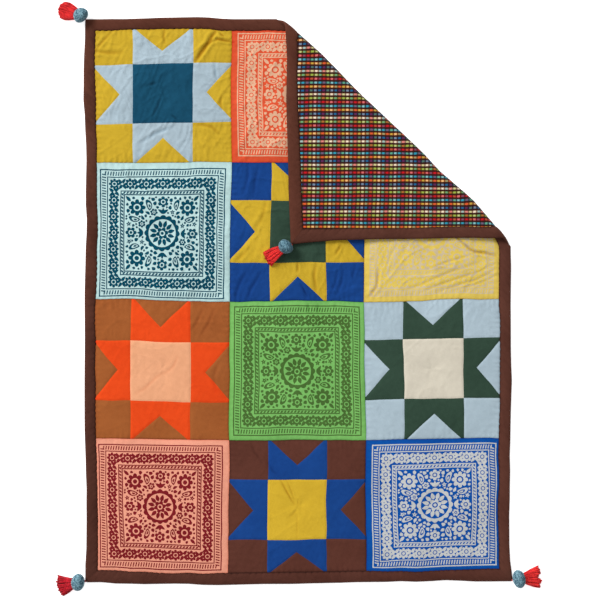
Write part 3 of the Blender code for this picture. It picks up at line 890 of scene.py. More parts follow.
def settle(item: bpy.types.Object, slot: str, node: str) -> None:
    """Fix a piece to the quilt, hide the solid that it stands for, and log its faces.

    Args:
        item: the piece.
        slot: not used.
        node: solid that it replaces.
    """
    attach(item, ROOT_BODY)
    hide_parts(node)
    LOG.info("%s: %d faces", item.name, len(item.data.polygons))


class NodeBoard:
    """Adds and joins shader nodes in one tree."""

    def __init__(self, tree: bpy.types.NodeTree) -> None:
        """Start on an emptied tree."""
        self.tree = tree
        tree.nodes.clear()

    def add(self, kind: str, values: dict | None = None, **settings: object) -> bpy.types.Node:
        """Add a node.

        Args:
            kind: Blender's name for the node's type.
            values: numbers for inputs, or sockets joined to them, by name or place.
            settings: properties of the node.

        Returns:
            The node.
        """
        node = self.tree.nodes.new(kind)
        for key, value in settings.items():
            setattr(node, key, value)
        for key, value in (values or {}).items():
            socket = node.inputs[key]
            if isinstance(value, Socket):
                self.tree.links.new(value, socket)
            else:
                socket.default_value = value
        return node

    def effect(self, effect: Effect, values: dict) -> bpy.types.bpy_prop_collection:
        """Place a shared effect with its own values, and give its outputs."""
        return self.add("ShaderNodeGroup", values, node_tree=shared_effect(effect)).outputs

    def finished(self, values: dict) -> bpy.types.NodeTree:
        """End a group with what it puts out."""
        self.add("NodeGroupOutput", values)
        return self.tree

    def math(self, operation: str, first: object, second: object = 0.0, third: object = 0.0) -> Socket:
        """One step of arithmetic on numbers or sockets."""
        values = {0: first, 1: second, 2: third}
        return self.add("ShaderNodeMath", values, operation=operation).outputs[0]

    def times(self, first: object, second: object) -> Socket:
        """The product of two numbers or sockets."""
        return self.math("MULTIPLY", first, second)

    def plus(self, first: object, second: object) -> Socket:
        """The sum of two numbers or sockets."""
        return self.math("ADD", first, second)

    def scaled(self, value: object, rate: object, start: object) -> Socket:
        """A value times a rate, from a start."""
        return self.math("MULTIPLY_ADD", value, rate, start)

    def ease(self, value: object, low: float, high: float) -> Socket:
        """Rise smoothly from 0 at low to 1 at high."""
        values = {"Value": value, "From Min": low, "From Max": high}
        return self.add("ShaderNodeMapRange", values, interpolation_type="SMOOTHSTEP").outputs[0]

    def blend(self, share: object, first: object, second: object, kind: str = "MIX") -> Socket:
        """Mix two colours by a share, or by another blend type."""
        values = {0: share, 6: first, 7: second}
        return self.add("ShaderNodeMix", values, data_type="RGBA", blend_type=kind).outputs[2]

    def noise(self, place: object, scale: float, detail: float) -> Socket:
        """Noise from 0 to 1 at a place."""
        return self.add("ShaderNodeTexNoise", {"Vector": place, "Scale": scale, "Detail": detail}).outputs[0]

    def stretched(self, place: object, x: float, y: float) -> Socket:
        """A place scaled apart along its axes."""
        return self.add("ShaderNodeMapping", {"Vector": place, "Scale": (x, y, 1.0)}).outputs[0]

    def parts(self, place: object) -> list[Socket]:
        """The first two numbers of a place."""
        return list(self.add("ShaderNodeSeparateXYZ", {0: place}).outputs)[:2]

    def flat_place(self) -> Socket:
        """The flat place in metres, from the piece's own map."""
        return self.add("ShaderNodeUVMap", uv_map=FLAT_MAP).outputs[0]

    def painted_shade(self) -> Socket:
        """The painted shade that the piece stores: in seams and creases, at the fold's edge, or on yarn that lies
        deep.
        """
        return self.add("ShaderNodeAttribute", attribute_name=PAINTED_SHADE).outputs["Fac"]

    def shaded(self, values: dict) -> None:
        """End a material in its shader."""
        shader = self.add("ShaderNodeBsdfPrincipled", values)
        self.add("ShaderNodeOutputMaterial", {"Surface": shader.outputs[0]})


class Effect(Enum):
    """The effects that several finishes share, as node groups."""

    WEAVE = "cloth_weave"
    WASHED = "washed_colour"
    TWIST = "yarn_twist"


def effect_board(effect: Effect, inputs: dict[str, str], outputs: dict[str, str]) -> NodeBoard:
    """Start a node group with named sockets.

    Args:
        effect: which effect it is.
        inputs: kind of each input: Float, Vector or Color.
        outputs: kind of each output.

    Returns:
        A board on the group's tree.
    """
    tree = bpy.data.node_groups.new(effect.value, "ShaderNodeTree")
    for way, sockets in (("INPUT", inputs), ("OUTPUT", outputs)):
        for name, kind in sockets.items():
            tree.interface.new_socket(name=name, in_out=way, socket_type=f"NodeSocket{kind}")
    return NodeBoard(tree)


def weave_group() -> bpy.types.NodeTree:
    """Plain weave: threads over and under one another, with slubs.

    Returns:
        A group that takes a flat place in threads, and puts out height and thread shade.
    """
    board = effect_board(Effect.WEAVE, {"Threads": "Vector"}, {"Height": "Float", "Shade": "Float"})
    source = board.add("NodeGroupInput").outputs["Threads"]
    across, along = (board.math("SINE", board.times(part, math.pi)) for part in board.parts(source))
    over = board.scaled(board.times(across, along), 0.5, 0.5)
    warp = board.times(board.math("ABSOLUTE", across), over)
    weft = board.times(board.math("ABSOLUTE", along), board.math("SUBTRACT", 1.0, over))
    slub_reach = 0.08
    slub = board.noise(board.stretched(source, slub_reach, 1.0), 1.0, 1.0)
    slub_weft = board.noise(board.stretched(source, 1.0, slub_reach), 1.0, 1.0)
    slubs = board.times(board.plus(slub, slub_weft), 0.5)
    return board.finished({"Height": board.plus(board.math("MAXIMUM", warp, weft), slubs), "Shade": slubs})


def washed_and_shaded_group() -> bpy.types.NodeTree:
    """Washed cotton's uneven colour, soft clouds and faint thread streaks, with painted shade in seams, creases
    and folds.

    Returns:
        A group that puts out the varied colour.
    """
    inputs = {"Colour": "Color", "Deep": "Color", "Place": "Vector"}
    inputs.update({"Shade": "Float", "Painted shade": "Float", "Clouds": "Float"})
    board = effect_board(Effect.WASHED, inputs, {"Colour": "Color"})
    source = board.add("NodeGroupInput").outputs
    broad = board.noise(source["Place"], 9.0, 3.0)
    small = board.noise(source["Place"], 70.0, 4.0)
    clouds = board.plus(board.times(broad, 0.6), board.times(small, 0.4))
    share = board.times(board.ease(clouds, 0.36, 0.66), source["Clouds"])
    streak = board.times(board.ease(source["Shade"], 0.35, 0.65), 0.22)
    varied = board.blend(board.plus(share, streak), source["Colour"], source["Deep"])
    # Painted shade: the colour is darkened towards the deep one where the piece stores shade.
    shaded_colour = board.blend(board.times(source["Painted shade"], 0.75), varied, source["Deep"], "MULTIPLY")
    return board.finished({"Colour": shaded_colour})


def twist_group() -> bpy.types.NodeTree:
    """Plied yarn: slanting plies and stray fibres.

    Returns:
        A group that takes the place round and along a strand, and puts out height, and a tone that mixes painted
        shade between the plies with the fibres' own tone.
    """
    inputs = {"Place": "Vector", "Plies": "Float", "Pitch": "Float"}
    board = effect_board(Effect.TWIST, inputs, {"Height": "Float", "Shade": "Float"})
    source = board.add("NodeGroupInput").outputs
    girth, length = board.parts(source["Place"])
    turns = board.plus(board.math("DIVIDE", length, source["Pitch"]), board.times(girth, source["Plies"]))
    ply = board.math("SINE", board.times(turns, 2 * math.pi))
    plump = board.math("SQRT", board.scaled(ply, 0.5, 0.5))
    fibres = board.noise(board.stretched(source["Place"], 9.0, 900.0), 1.0, 3.0)
    height = board.plus(plump, board.times(fibres, 0.7))
    return board.finished({"Height": height, "Shade": board.times(board.plus(plump, fibres), 0.5)})


@cache
def shared_effect(effect: Effect) -> bpy.types.NodeTree:
    """The node group of an effect, built once."""
    makers = {Effect.WEAVE: weave_group, Effect.WASHED: washed_and_shaded_group, Effect.TWIST: twist_group}
    return makers[effect]()


def new_material(name: str) -> tuple[bpy.types.Material, NodeBoard]:
    """Start a material: the material, and a board on its empty tree."""
    material = bpy.data.materials.new(name)
    material.use_nodes = True
    return material, NodeBoard(material.node_tree)


def solid(display: Display) -> LinearColour:
    """A display colour as the linear one of a socket."""
    return (*linear(*display), 1.0)


@dataclass(frozen=True)
class Nap:
    """How a cloth or yarn takes the light: its fine relief in metres, its soft nap and its gloss."""

    relief: float
    sheen: float
    specular: float = 0.08
    sheen_rough: float = 0.6

    def close(self, board: NodeBoard, colour: object, rough: object, height: object, tint: Colour) -> None:
        """End a cloth or yarn material in its shader.

        Args:
            board: the material's board.
            colour: base colour socket.
            rough: roughness, or its socket.
            height: socket of the surface's fine height.
            tint: the nap's colour.
        """
        bump = board.add("ShaderNodeBump", {"Strength": 1.0, "Distance": self.relief, "Height": height})
        board.shaded({
            "Base Color": colour,
            "Roughness": rough,
            "Normal": bump.outputs[0],
            "Sheen Weight": self.sheen,
            "Sheen Roughness": self.sheen_rough,
            "Sheen Tint": (*tint, 1.0),
            "Specular IOR Level": self.specular,
        })


@dataclass(frozen=True)
class CottonFinish:
    """Plain woven cotton in one colour."""

    name: str
    display: Display
    thread_spacing: float = 0.00065
    clouds: float = 0.35
    depth: float = 0.80
    nap: Nap = Nap(0.00012, 0.02)
    # The colour at the far end of a strip, to which its colour changes smoothly along it, and the strip's length.
    far_display: Display | None = None
    run: float = 1.0

    def deep(self) -> Colour:
        """Its richer, darker colour: the tone of its darker clouds, and the colour of the painted shade in seams,
        creases and folds.
        """
        return tuple(value**1.12 * self.depth for value in linear(*self.display))

    def material(self) -> bpy.types.Material:
        """Build the material.

        Returns:
            A woven cotton with uneven colour and painted shade.
        """
        material, board = new_material(self.name)
        place, colour = board.flat_place(), solid(self.display)
        if self.far_display is not None:
            along = board.ease(board.parts(place)[0], 0.0, self.run)
            colour = board.blend(along, colour, solid(self.far_display))
        threads = 1 / self.thread_spacing
        weave = board.effect(Effect.WEAVE, {"Threads": board.stretched(place, threads, threads)})
        values = {"Colour": colour, "Deep": (*self.deep(), 1.0), "Place": place, "Shade": weave["Shade"]}
        values.update({"Painted shade": board.painted_shade(), "Clouds": self.clouds})
        washed_and_shaded = board.effect(Effect.WASHED, values)
        rough = board.scaled(board.ease(weave["Shade"], -0.6, 1.2), 0.18, 0.74)
        tint = tuple(0.5 + 0.5 * value for value in linear(*self.display))
        self.nap.close(board, washed_and_shaded["Colour"], rough, weave["Height"], tint)
        return material


@dataclass(frozen=True)
class YarnFinish:
    """Wool yarn wound or hanging in strands."""

    name: str
    display: Display
    deep_display: Display
    plies: float = 2.0
    pitch: float = 0.005
    fleck: float = 0.0045
    # Tells one strand's flecks from the next one's.
    strand_step: float = 7.3
    nap: Nap = Nap(0.0004, 0.25, 0.15)

    def material(self) -> bpy.types.Material:
        """Build the material.

        Returns:
            A plied yarn with darker flecks, with painted shade between its plies and on strands that lie deep.
        """
        material, board = new_material(self.name)
        place = board.flat_place()
        twist = board.effect(Effect.TWIST, {"Place": place, "Plies": self.plies, "Pitch": self.pitch})
        girth, length = board.parts(place)
        strand = board.times(board.math("FLOOR", girth), self.strand_step)
        spot = board.add("ShaderNodeCombineXYZ", {0: strand, 1: board.math("DIVIDE", length, self.fleck)})
        tone = board.ease(board.noise(spot.outputs[0], 1.0, 0.0), 0.30, 0.70)
        # Darker flecks, then painted shade on yarn that lies deep and between the plies, push the colour towards
        # the deep one.
        share = board.scaled(tone, 0.70, board.times(board.painted_shade(), 0.6))
        share = board.math("SUBTRACT", share, 0.15)
        share = board.plus(share, board.times(board.ease(twist["Shade"], 0.75, 0.25), 0.45))
        colour = board.blend(board.ease(share, 0.0, 1.0), solid(self.display), solid(self.deep_display))
        rough = board.scaled(twist["Shade"], -0.1, 0.9)
        tint = tuple(0.4 + 0.6 * value for value in linear(*self.display))
        self.nap.close(board, colour, rough, twist["Height"], tint)
        return material


@dataclass(frozen=True)
class CheckFinish:
    """Yarn-dyed check: coloured stripes both ways on a dark ground, brightest where they cross."""

    name: str = "checked_backing_cloth"
    ground: Display = (50, 10, 0)
    row_pitch: float = 0.01052
    column_pitch: float = 0.0109
    row_phase: float = 0.8166
    column_phase: float = 1.3134
    row_slant: float = 0.031
    column_slant: float = 0.053
    row_displays: tuple = (
        (34, 156, 186), (250, 152, 48), (8, 54, 122), (252, 224, 192), (152, 178, 58), (204, 0, 26),
    )
    column_displays: tuple = ((58, 160, 184), (208, 20, 42), (165, 188, 84), (255, 244, 216))
    # Half widths of a column and of a row, as shares of the pitch, and how softly their edges end.
    bead_half: Pair = (0.29, 0.24)
    bead_edge: Pair = (0.09, -0.05)
    # How much of the row's colour shows between beads, of the column's in a bead, and of the
    # column's between the rows.
    between: float = 0.47
    column_share: float = 0.45
    faint_share: float = 0.06
    thread_spacing: float = 0.0009
    nap: Nap = Nap(0.00018, 0.05, 0.2)

    def shares(self, display: Display) -> LinearColour:
        """A display colour's own shares, which are mixed before they are made linear."""
        return (*(value / DISPLAY_WHITE for value in display), 1.0)

    def stripes(self, board: NodeBoard, turns: object, displays: tuple) -> Socket:
        """Display colour of the stripe at a place counted in stripes.

        Args:
            board: the material's board.
            turns: stripes counted from the first.
            displays: the stripes' display colours in order.

        Returns:
            The colour socket.
        """
        count = len(displays)
        share = board.math("FRACT", board.math("DIVIDE", turns, float(count)))
        ramp = board.add("ShaderNodeValToRGB", {0: share})
        ramp.color_ramp.interpolation = "CONSTANT"
        while len(ramp.color_ramp.elements) < count:
            ramp.color_ramp.elements.new(0.5)
        for index, display in enumerate(displays):
            element = ramp.color_ramp.elements[index]
            element.position = index / count
            element.color = self.shares(display)
        return ramp.outputs[0]

    def within(self, board: NodeBoard, turns: object, half: float) -> Socket:
        """1 within a stripe's half width of its middle, and 0 between the stripes."""
        gap = board.math("ABSOLUTE", board.math("SUBTRACT", board.math("FRACT", turns), 0.5))
        return board.ease(gap, half + self.bead_edge[0], half + self.bead_edge[1])

    def material(self) -> bpy.types.Material:
        """Build the material.

        Returns:
            A checked cloth.
        """
        material, board = new_material(self.name)
        place = board.flat_place()
        across, up = board.parts(place)
        down = board.math("SUBTRACT", board.scaled(up, self.row_slant, across), self.row_phase)
        rows = board.math("DIVIDE", down, self.row_pitch)
        aside = board.math("SUBTRACT", self.column_phase, board.scaled(across, -self.column_slant, up))
        columns = board.math("DIVIDE", aside, self.column_pitch)
        row_colour = self.stripes(board, rows, self.row_displays)
        column_colour = self.stripes(board, columns, self.column_displays)
        in_row = self.within(board, rows, self.bead_half[1])
        in_column = self.within(board, columns, self.bead_half[0])
        threads = 1 / self.thread_spacing
        weave = board.effect(Effect.WEAVE, {"Threads": board.stretched(place, threads, threads)})
        ground = self.shares(self.ground)
        crossed = board.blend(self.column_share, row_colour, column_colour)
        dimmed = board.blend(self.between, ground, row_colour)
        faint = board.blend(board.times(in_column, self.faint_share), ground, column_colour)
        checked = board.blend(in_row, faint, board.blend(in_column, dimmed, crossed))
        colour = board.add("ShaderNodeGamma", {"Color": checked, "Gamma": 2.2}).outputs[0]
        # Thread slubs vary the colour, and painted shade darkens it at the fold's edge.
        shade = board.times(board.scaled(weave["Shade"], 0.3, 0.85), board.scaled(board.painted_shade(), -0.6, 1.0))
        grey = board.add("ShaderNodeCombineXYZ", {axis: shade for axis in range(3)}).outputs[0]
        varied = board.blend(1.0, colour, grey, "MULTIPLY")
        height = board.plus(weave["Height"], board.times(board.times(in_row, in_column), 1.2))
        self.nap.close(board, varied, 0.85, height, (1.0, 1.0, 1.0))
        return material


@dataclass(frozen=True)
class FloorFinish:
    """Matt white studio floor."""

    name: str = "studio_floor"
    display: Display = (252, 252, 252)
    glow: float = 0.65

    def material(self) -> bpy.types.Material:
        """Build the material.

        Returns:
            A matt white with a very faint grain.
        """
        material, board = new_material(self.name)
        grain = board.noise(board.add("ShaderNodeTexCoord").outputs["Object"], 40.0, 3.0)
        off_white = tuple(value * 0.985 for value in linear(*self.display))
        board.shaded({
            "Base Color": board.blend(grain, solid(self.display), (*off_white, 1.0)),
            "Roughness": 0.9,
            "Specular IOR Level": 0.1,
            "Emission Color": (1.0, 1.0, 1.0, 1.0),
            "Emission Strength": self.glow,
        })
        return material


class Paint(Enum):
    """What a shape of the print leaves on the cloth."""

    GROUND = 0
    INK = 1


def turned(points: Array, angle: float, x: float = 0.0, y: float = 0.0) -> Array:
    """Turn points by an angle and move them."""
    spin = np.array(((math.cos(angle), math.sin(angle)), (-math.sin(angle), math.cos(angle))))
    return points @ spin + np.array((x, y))


def turned_spot(x: float, y: float, angle: float) -> Array:
    """One place, turned by an angle."""
    return turned(np.array(((x, y),)), angle)[0]


def full_turn(count: int) -> Array:
    """Even angles once round."""
    return np.linspace(0, 2 * math.pi, count, endpoint=False)


def round_shape(angles: Array, reach: Array | float) -> Array:
    """Points round the origin, each at its reach."""
    return np.stack((reach * np.cos(angles), reach * np.sin(angles)), axis=1)


def drop_shape(along: Array, bow: Array, half: Array) -> Array:
    """A closed shape about a bowed line: there on one side of it and back on the other."""
    upper, lower = np.stack((along, bow + half), axis=1), np.stack((along, bow - half), axis=1)
    return np.vstack((upper, lower[-2:0:-1]))


def box_shape(left: float, bottom: float, right: float, top: float) -> Array:
    """A rectangle's four corners."""
    return np.array(((left, bottom), (right, bottom), (right, top), (left, top)), float)


@dataclass
class BlockPrint:
    """A generic kerchief print: lines, teeth and sprays round a field of flowers, in metres from its middle."""

    half: float = 0.170
    field_half: float = 0.1005
    line_places: tuple = ((0.170, 0.1668), (0.1508, 0.1480), (0.1136, 0.1108), (0.1040, 0.1010))
    teeth_place: float = 0.1588
    teeth: int = 44
    tooth_half: float = 0.0018
    tooth_ends: Pair = (0.0054, -0.0046)
    rope_place: float = 0.1076
    rope: int = 24
    # A rope stroke's half length, the far end of its slant, and half its height.
    stroke: Triple = (0.0044, 0.0009, 0.0028)
    band_place: float = 0.1311
    band_half: float = 0.0163
    band_steps: int = 6
    # The crossed leaves: their slant, and their length and width as shares of the band's half.
    crossed: Triple = (0.95, 1.10, 0.52)
    ring: float = 0.0470
    # Fillers: radius and number of tries of each round, from large to small.
    filler_rounds: tuple = ((0.0100, 600), (0.0078, 1200), (0.0060, 2400), (0.0046, 4200), (0.0034, 6500))
    # The least radius of a flower, a star and a leaf among them.
    filler_least: Triple = (0.0088, 0.0065, 0.0030)
    # How far fillers keep from the field's edge, from its ring and from what is drawn.
    filler_gaps: Triple = (0.0015, 0.002, 0.0007)
    shapes: list = field(default_factory=list)

    def put(self, paint: Paint, outline: Array) -> None:
        """Add one shape over those before it."""
        self.shapes.append((paint.value, outline))

    def disc(self, x: float, y: float, radius: float, paint: Paint, sides: int) -> None:
        """A round spot."""
        self.put(paint, round_shape(full_turn(sides), radius) + (x, y))

    def leaf(self, x: float, y: float, angle: float, length: float, width: float, bend: float = 0.0) -> None:
        """A pointed leaf.

        Args:
            x: its foot, across.
            y: its foot, up.
            angle: its direction.
            length: its length.
            width: its greatest width.
            bend: how far its middle bows sideways, as a share of its length.
        """
        share = np.linspace(0, 1, 8)
        bow = bend * length * np.sin(math.pi * share)
        half = 0.5 * width * np.sin(math.pi * share**0.8) ** 0.9
        self.put(Paint.INK, turned(drop_shape(share * length, bow, half), angle, x, y))

    def flower(self, x: float, y: float, radius: float, petals: int, turn: float, eye: float) -> None:
        """A round flower: scalloped petals, a pale ring and a solid eye.

        Args:
            x: its middle, across.
            y: its middle, up.
            radius: its radius.
            petals: how many petals.
            turn: angle of its first petal.
            eye: radius of the pale ring, as a share of its own.
        """
        angles = full_turn(petals * 6)
        reach = radius * (0.66 + 0.34 * np.abs(np.cos(petals * angles / 2)) ** 0.7)
        self.put(Paint.INK, turned(round_shape(angles, reach), turn, x, y))
        self.disc(x, y, radius * eye, Paint.GROUND, 10)
        self.disc(x, y, radius * eye * 0.5, Paint.INK, 8)

    def star(self, x: float, y: float, radius: float, points: int, turn: float) -> None:
        """A small star with a pale eye.

        Args:
            x: its middle, across.
            y: its middle, up.
            radius: its radius.
            points: how many points.
            turn: angle of its first point.
        """
        reach = radius * np.where(np.arange(2 * points) % 2 == 0, 1.0, 0.45)
        self.put(Paint.INK, turned(round_shape(full_turn(2 * points), reach), turn, x, y))
        self.disc(x, y, radius * 0.16, Paint.GROUND, 6)

    def paisley(self, x: float, y: float, angle: float, length: float, hand: int) -> None:
        """A curled drop with a pale inner drop and a solid heart.

        Args:
            x: its middle, across.
            y: its middle, up.
            angle: direction of its tip.
            length: its length.
            hand: 1 or -1, the side that its tip curls to.
        """
        share = np.linspace(0, 1, 9)
        half = 0.5 * 0.62 * np.sqrt(np.clip(share, 0, 1)) * (1 - share) ** 0.75 * 2.0
        bow = hand * 0.30 * (1 - share) ** 2.2
        for size, paint in ((1.0, Paint.INK), (0.58, Paint.GROUND), (0.32, Paint.INK)):
            self.put(paint, turned(drop_shape(0.62 - share, bow, half) * size * length, angle, x, y))

    def frames(self) -> None:
        """Thin square lines, from the outside in."""
        for outer, inner in self.line_places:
            for angle in QUARTER_TURNS:
                self.put(Paint.INK, turned(box_shape(-outer, inner, inner, outer), angle))

    def along_side(self, count: int, place: float) -> list[float]:
        """Middles of even steps along one side of a square."""
        return [((step + 0.5) / count * 2 - 1) * place for step in range(count)]

    def borders(self) -> None:
        """Teeth, rope and the band of flowers and crossed leaves, on all four sides."""
        foot, tip = self.tooth_ends
        reach, slant, rise = self.stroke
        for angle in QUARTER_TURNS:
            for x in self.along_side(self.teeth, self.teeth_place):
                for out in (1, -1):
                    middle = x + 0.5 * self.tooth_half * out
                    tooth = np.array(((middle - self.tooth_half, foot * out), (middle, tip * out),
                                      (middle + self.tooth_half, foot * out)))
                    self.put(Paint.INK, turned(tooth + (0.0, self.teeth_place), angle))
            for x in self.along_side(self.rope, self.rope_place):
                stroke = np.array(((x - reach, -rise), (x + slant, -rise), (x + reach, rise), (x - slant, rise)))
                self.put(Paint.INK, turned(stroke + (0.0, self.rope_place), angle))
            for step in range(self.band_steps):
                x = (step / self.band_steps * 2 - 1) * self.band_place
                middle = turned_spot(x, self.band_place, angle)
                self.flower(*middle, self.band_half * 0.94, 8, angle, 0.42)
                self.disc(*middle, self.band_half * 0.26, Paint.INK, 10)
                self.crossing(x + self.band_place / self.band_steps, self.band_place, angle)

    def crossing(self, x: float, y: float, angle: float) -> None:
        """Four bold leaves that meet at a spot.

        Args:
            x: its middle along the side.
            y: its middle out from the print's middle.
            angle: the side's angle.
        """
        middle = turned_spot(x, y, angle)
        slant, length, width = self.crossed
        for way in (slant, math.pi - slant, math.pi + slant, -slant):
            self.leaf(*middle, angle + way, self.band_half * length, self.band_half * width, 0.06)
        for way in (0.0, math.pi):
            foot = middle + 0.0062 * np.array((math.cos(angle + way), math.sin(angle + way)))
            self.disc(*foot, 0.0020, Paint.INK, 7)
        self.disc(*middle, 0.0030, Paint.GROUND, 8)

    def medallion(self) -> None:
        """The round flower in the middle of the field, in a scalloped ring."""
        angles = full_turn(144)
        self.put(Paint.INK, round_shape(angles, self.ring * (0.90 + 0.12 * np.abs(np.cos(8 * angles)) ** 0.8)))
        self.disc(0, 0, self.ring * 0.78, Paint.GROUND, 40)
        foot, petals = 0.0150, 12
        for step in range(petals):
            way = (step + 0.5) * math.pi / 6
            self.leaf(foot * math.cos(way), foot * math.sin(way), way, 0.0196, 0.0104)
        self.flower(0, 0, 0.0165, 6, 0.2, 0.46)
        self.disc(0, 0, 0.0042, Paint.INK, 10)

    def quarter(self, axis: float) -> None:
        """One corner of the field: a large flower among leaves, between two paisleys.

        Args:
            axis: angle of the line to that corner.
        """
        middle = turned_spot(0.0960, 0.0, axis)
        self.flower(*middle, 0.0225, 8, axis, 0.44)
        self.disc(*middle, 0.0060, Paint.INK, 12)
        for hand in (-1, 0, 1):
            foot = turned_spot(0.1200 - 0.010 * abs(hand), hand * 0.0190, axis)
            self.leaf(*foot, axis + hand * 0.35, 0.0200 - 0.003 * abs(hand), 0.0085, 0.08 * hand)
        for hand in (-1, 1):
            self.paisley(*turned_spot(0.0745, hand * 0.0255, axis), axis + hand * 0.9, 0.0300, -hand)
            foot = turned_spot(0.0590, hand * 0.0100, axis)
            self.leaf(*foot, axis - hand * 0.25, 0.0150, 0.0075, 0.10 * hand)
            self.star(*turned_spot(0.1020, hand * 0.0420, axis), 0.0100, 6, axis + hand)

    def edges(self, turn: float) -> None:
        """The middle of one side of the field: a flower over three curled leaves.

        Args:
            turn: angle of the line to that side.
        """
        foot, middle = turned_spot(0.0505, 0.0, turn), turned_spot(0.0830, 0.0, turn)
        for way, size in ((0.0, 0.0170), (0.85, 0.0190), (-0.85, 0.0190)):
            self.leaf(*foot, turn + way, size, 0.0080, -0.10 * way)
        self.flower(*middle, 0.0150, 6, turn, 0.44)
        self.disc(*middle, 0.0040, Paint.INK, 8)

    def filler(self, x: float, y: float, radius: float, way: float) -> None:
        """A flower, star or leaf, whichever suits the room; none where the room is too small.

        Args:
            x: its middle, across.
            y: its middle, up.
            radius: the room's radius.
            way: its direction.
        """
        flower, star, leaf = self.filler_least
        if radius > flower:
            self.flower(x, y, radius, 6, way, 0.42)
        elif radius > star:
            self.star(x, y, radius, 5, way)
        elif radius > leaf:
            run = np.array((math.cos(way), math.sin(way))) * radius
            self.leaf(x - run[0], y - run[1], way, 2 * radius, radius * 1.6, 0.08)

    def fillers(self) -> None:
        """Small leaves, flowers and stars in what the field has left bare."""
        chance = np.random.RandomState(Seed.FILLERS)
        spacing = 0.002
        drawn = np.vstack([finely_cut(outline, spacing) for _, outline in self.shapes
                           if abs(outline).max() < self.field_half])
        edge_gap, ring_gap, shape_gap = self.filler_gaps
        limit = self.field_half - edge_gap
        for radius, tries in self.filler_rounds:
            for x, y in chance.uniform(radius - limit, limit - radius, (tries, 2)):
                if math.hypot(x, y) < self.ring + radius + ring_gap:
                    continue
                if np.hypot(drawn[:, 0] - x, drawn[:, 1] - y).min() < radius + shape_gap:
                    continue
                first = len(self.shapes)
                self.filler(x, y, radius, chance.uniform(0, 2 * math.pi))
                drawn = np.vstack([drawn] + [finely_cut(outline, spacing) for _, outline in self.shapes[first:]])

    def drawn(self) -> list[Shape]:
        """Draw the whole print.

        Returns:
            All its shapes, later ones over earlier ones.
        """
        self.frames()
        self.borders()
        self.medallion()
        outside = len(self.shapes)
        for turn in QUARTER_TURNS:
            self.edges(turn)
            self.quarter(turn + math.pi / 4)
        inner = [shape for shape in self.shapes[outside:] if abs(shape[1]).max() < self.field_half - 0.001]
        self.shapes = self.shapes[:outside] + inner
        self.fillers()
        return self.shapes


@dataclass
class StarPatch:
    """A pieced star: four corner squares, a middle square and four notches, as shares of the block."""

    seam_shares: Pair = (0.28, 0.72)
    notch_half: float = 0.200
    notch_depth: float = 0.178

    def notches(self) -> list[Array]:
        """The four notches' outlines: two ends on the block's edge, then the point."""
        notch = np.array(((-self.notch_half, -0.5), (self.notch_half, -0.5), (0, self.notch_depth - 0.5)))
        return [turned(notch, angle, 0.5, 0.5) for angle in QUARTER_TURNS]

    def drawn(self) -> list[Shape]:
        """Draw the patches in the unit square.

        Returns:
            Their outlines: paint 0 is the background, 1 the star and 2 the middle.
        """
        low, high = self.seam_shares
        squares = [box_shape(left, bottom, right, top) for left, right in ((0, low), (high, 1))
                   for bottom, top in ((0, low), (high, 1))]
        background = [(0, outline) for outline in squares + self.notches()]
        return [(1, box_shape(0, 0, 1, 1)), *background, (2, box_shape(low, low, high, high))]


@dataclass
class PatchworkBlock:
    """One block of the patchwork, cut from its plan and laid on the padding."""

    row: int
    column: int
    colours: tuple[Display, ...]
    # How far the outermost edge is tucked under the binding, how much lower, and the cloth's least height.
    seam_margin: float = 0.0025
    seam_drop: float = 0.0012
    least_height: float = 0.0006

    @property
    def label(self) -> str:
        """The block's place, counted from the top left."""
        return f"row{len(SIZES.row_seams) - 1 - self.row}_column{self.column + 1}"

    def corner(self) -> Array:
        """The block's lower left corner, flat."""
        return np.array((SIZES.column_seams[self.column], SIZES.row_seams[self.row]))

    def extent(self) -> Array:
        """The block's width and height, flat."""
        columns, rows = SIZES.column_seams, SIZES.row_seams
        return np.array((columns[self.column + 1] - columns[self.column], rows[self.row + 1] - rows[self.row]))

    def laid(self, plan: FlatPlan, share: Array, kind: str, finishes: list, lift: Array | float) -> None:
        """Lay the block's cloth.

        Args:
            plan: the cut cloth.
            share: place of each of its points as a share of the block.
            kind: what the block is called.
            finishes: its materials, in the order of the plan's paints.
            lift: extra height of each point.
        """
        flat = self.corner() + share * self.extent()
        under = self.tuck(share)
        above, painted_shade = LOFT.front(flat[:, 0], flat[:, 1])
        above = above + lift - under[:, 2]
        placed = flat + under[:, :2] + LOFT.wander(flat[:, 0], flat[:, 1])
        points = RESTING.lie(placed[:, 0], placed[:, 1], above)
        points[:, 2] = np.maximum(points[:, 2], self.least_height)
        item = new_piece(f"{kind}_{self.label}", points, plan.triangles, finishes, plan.paints)
        add_maps(item.data, {BAKE_MAP: share, FLAT_MAP: flat})
        add_values(item.data, PAINTED_SHADE, painted_shade)
        settle(item, "patchwork", "quilt_body")

    def tuck(self, share: Array) -> Array:
        """Move the outermost edge under the binding.

        Args:
            share: place of each point as a share of the block.

        Returns:
            Each point's move to the right, up and down.
        """
        moves = np.zeros((len(share), 3))
        last_column, last_row = len(SIZES.column_seams) - 2, len(SIZES.row_seams) - 2
        for axis, index, last in ((0, self.column, last_column), (1, self.row, last_row)):
            low_edge, high_edge = share[:, axis] <= 0, share[:, axis] >= 1
            for outermost, edge, way in ((index == 0, low_edge, -1), (index == last, high_edge, 1)):
                if outermost:
                    moves[edge, axis] += way * self.seam_margin
                    moves[edge, 2] = self.seam_drop
        return moves


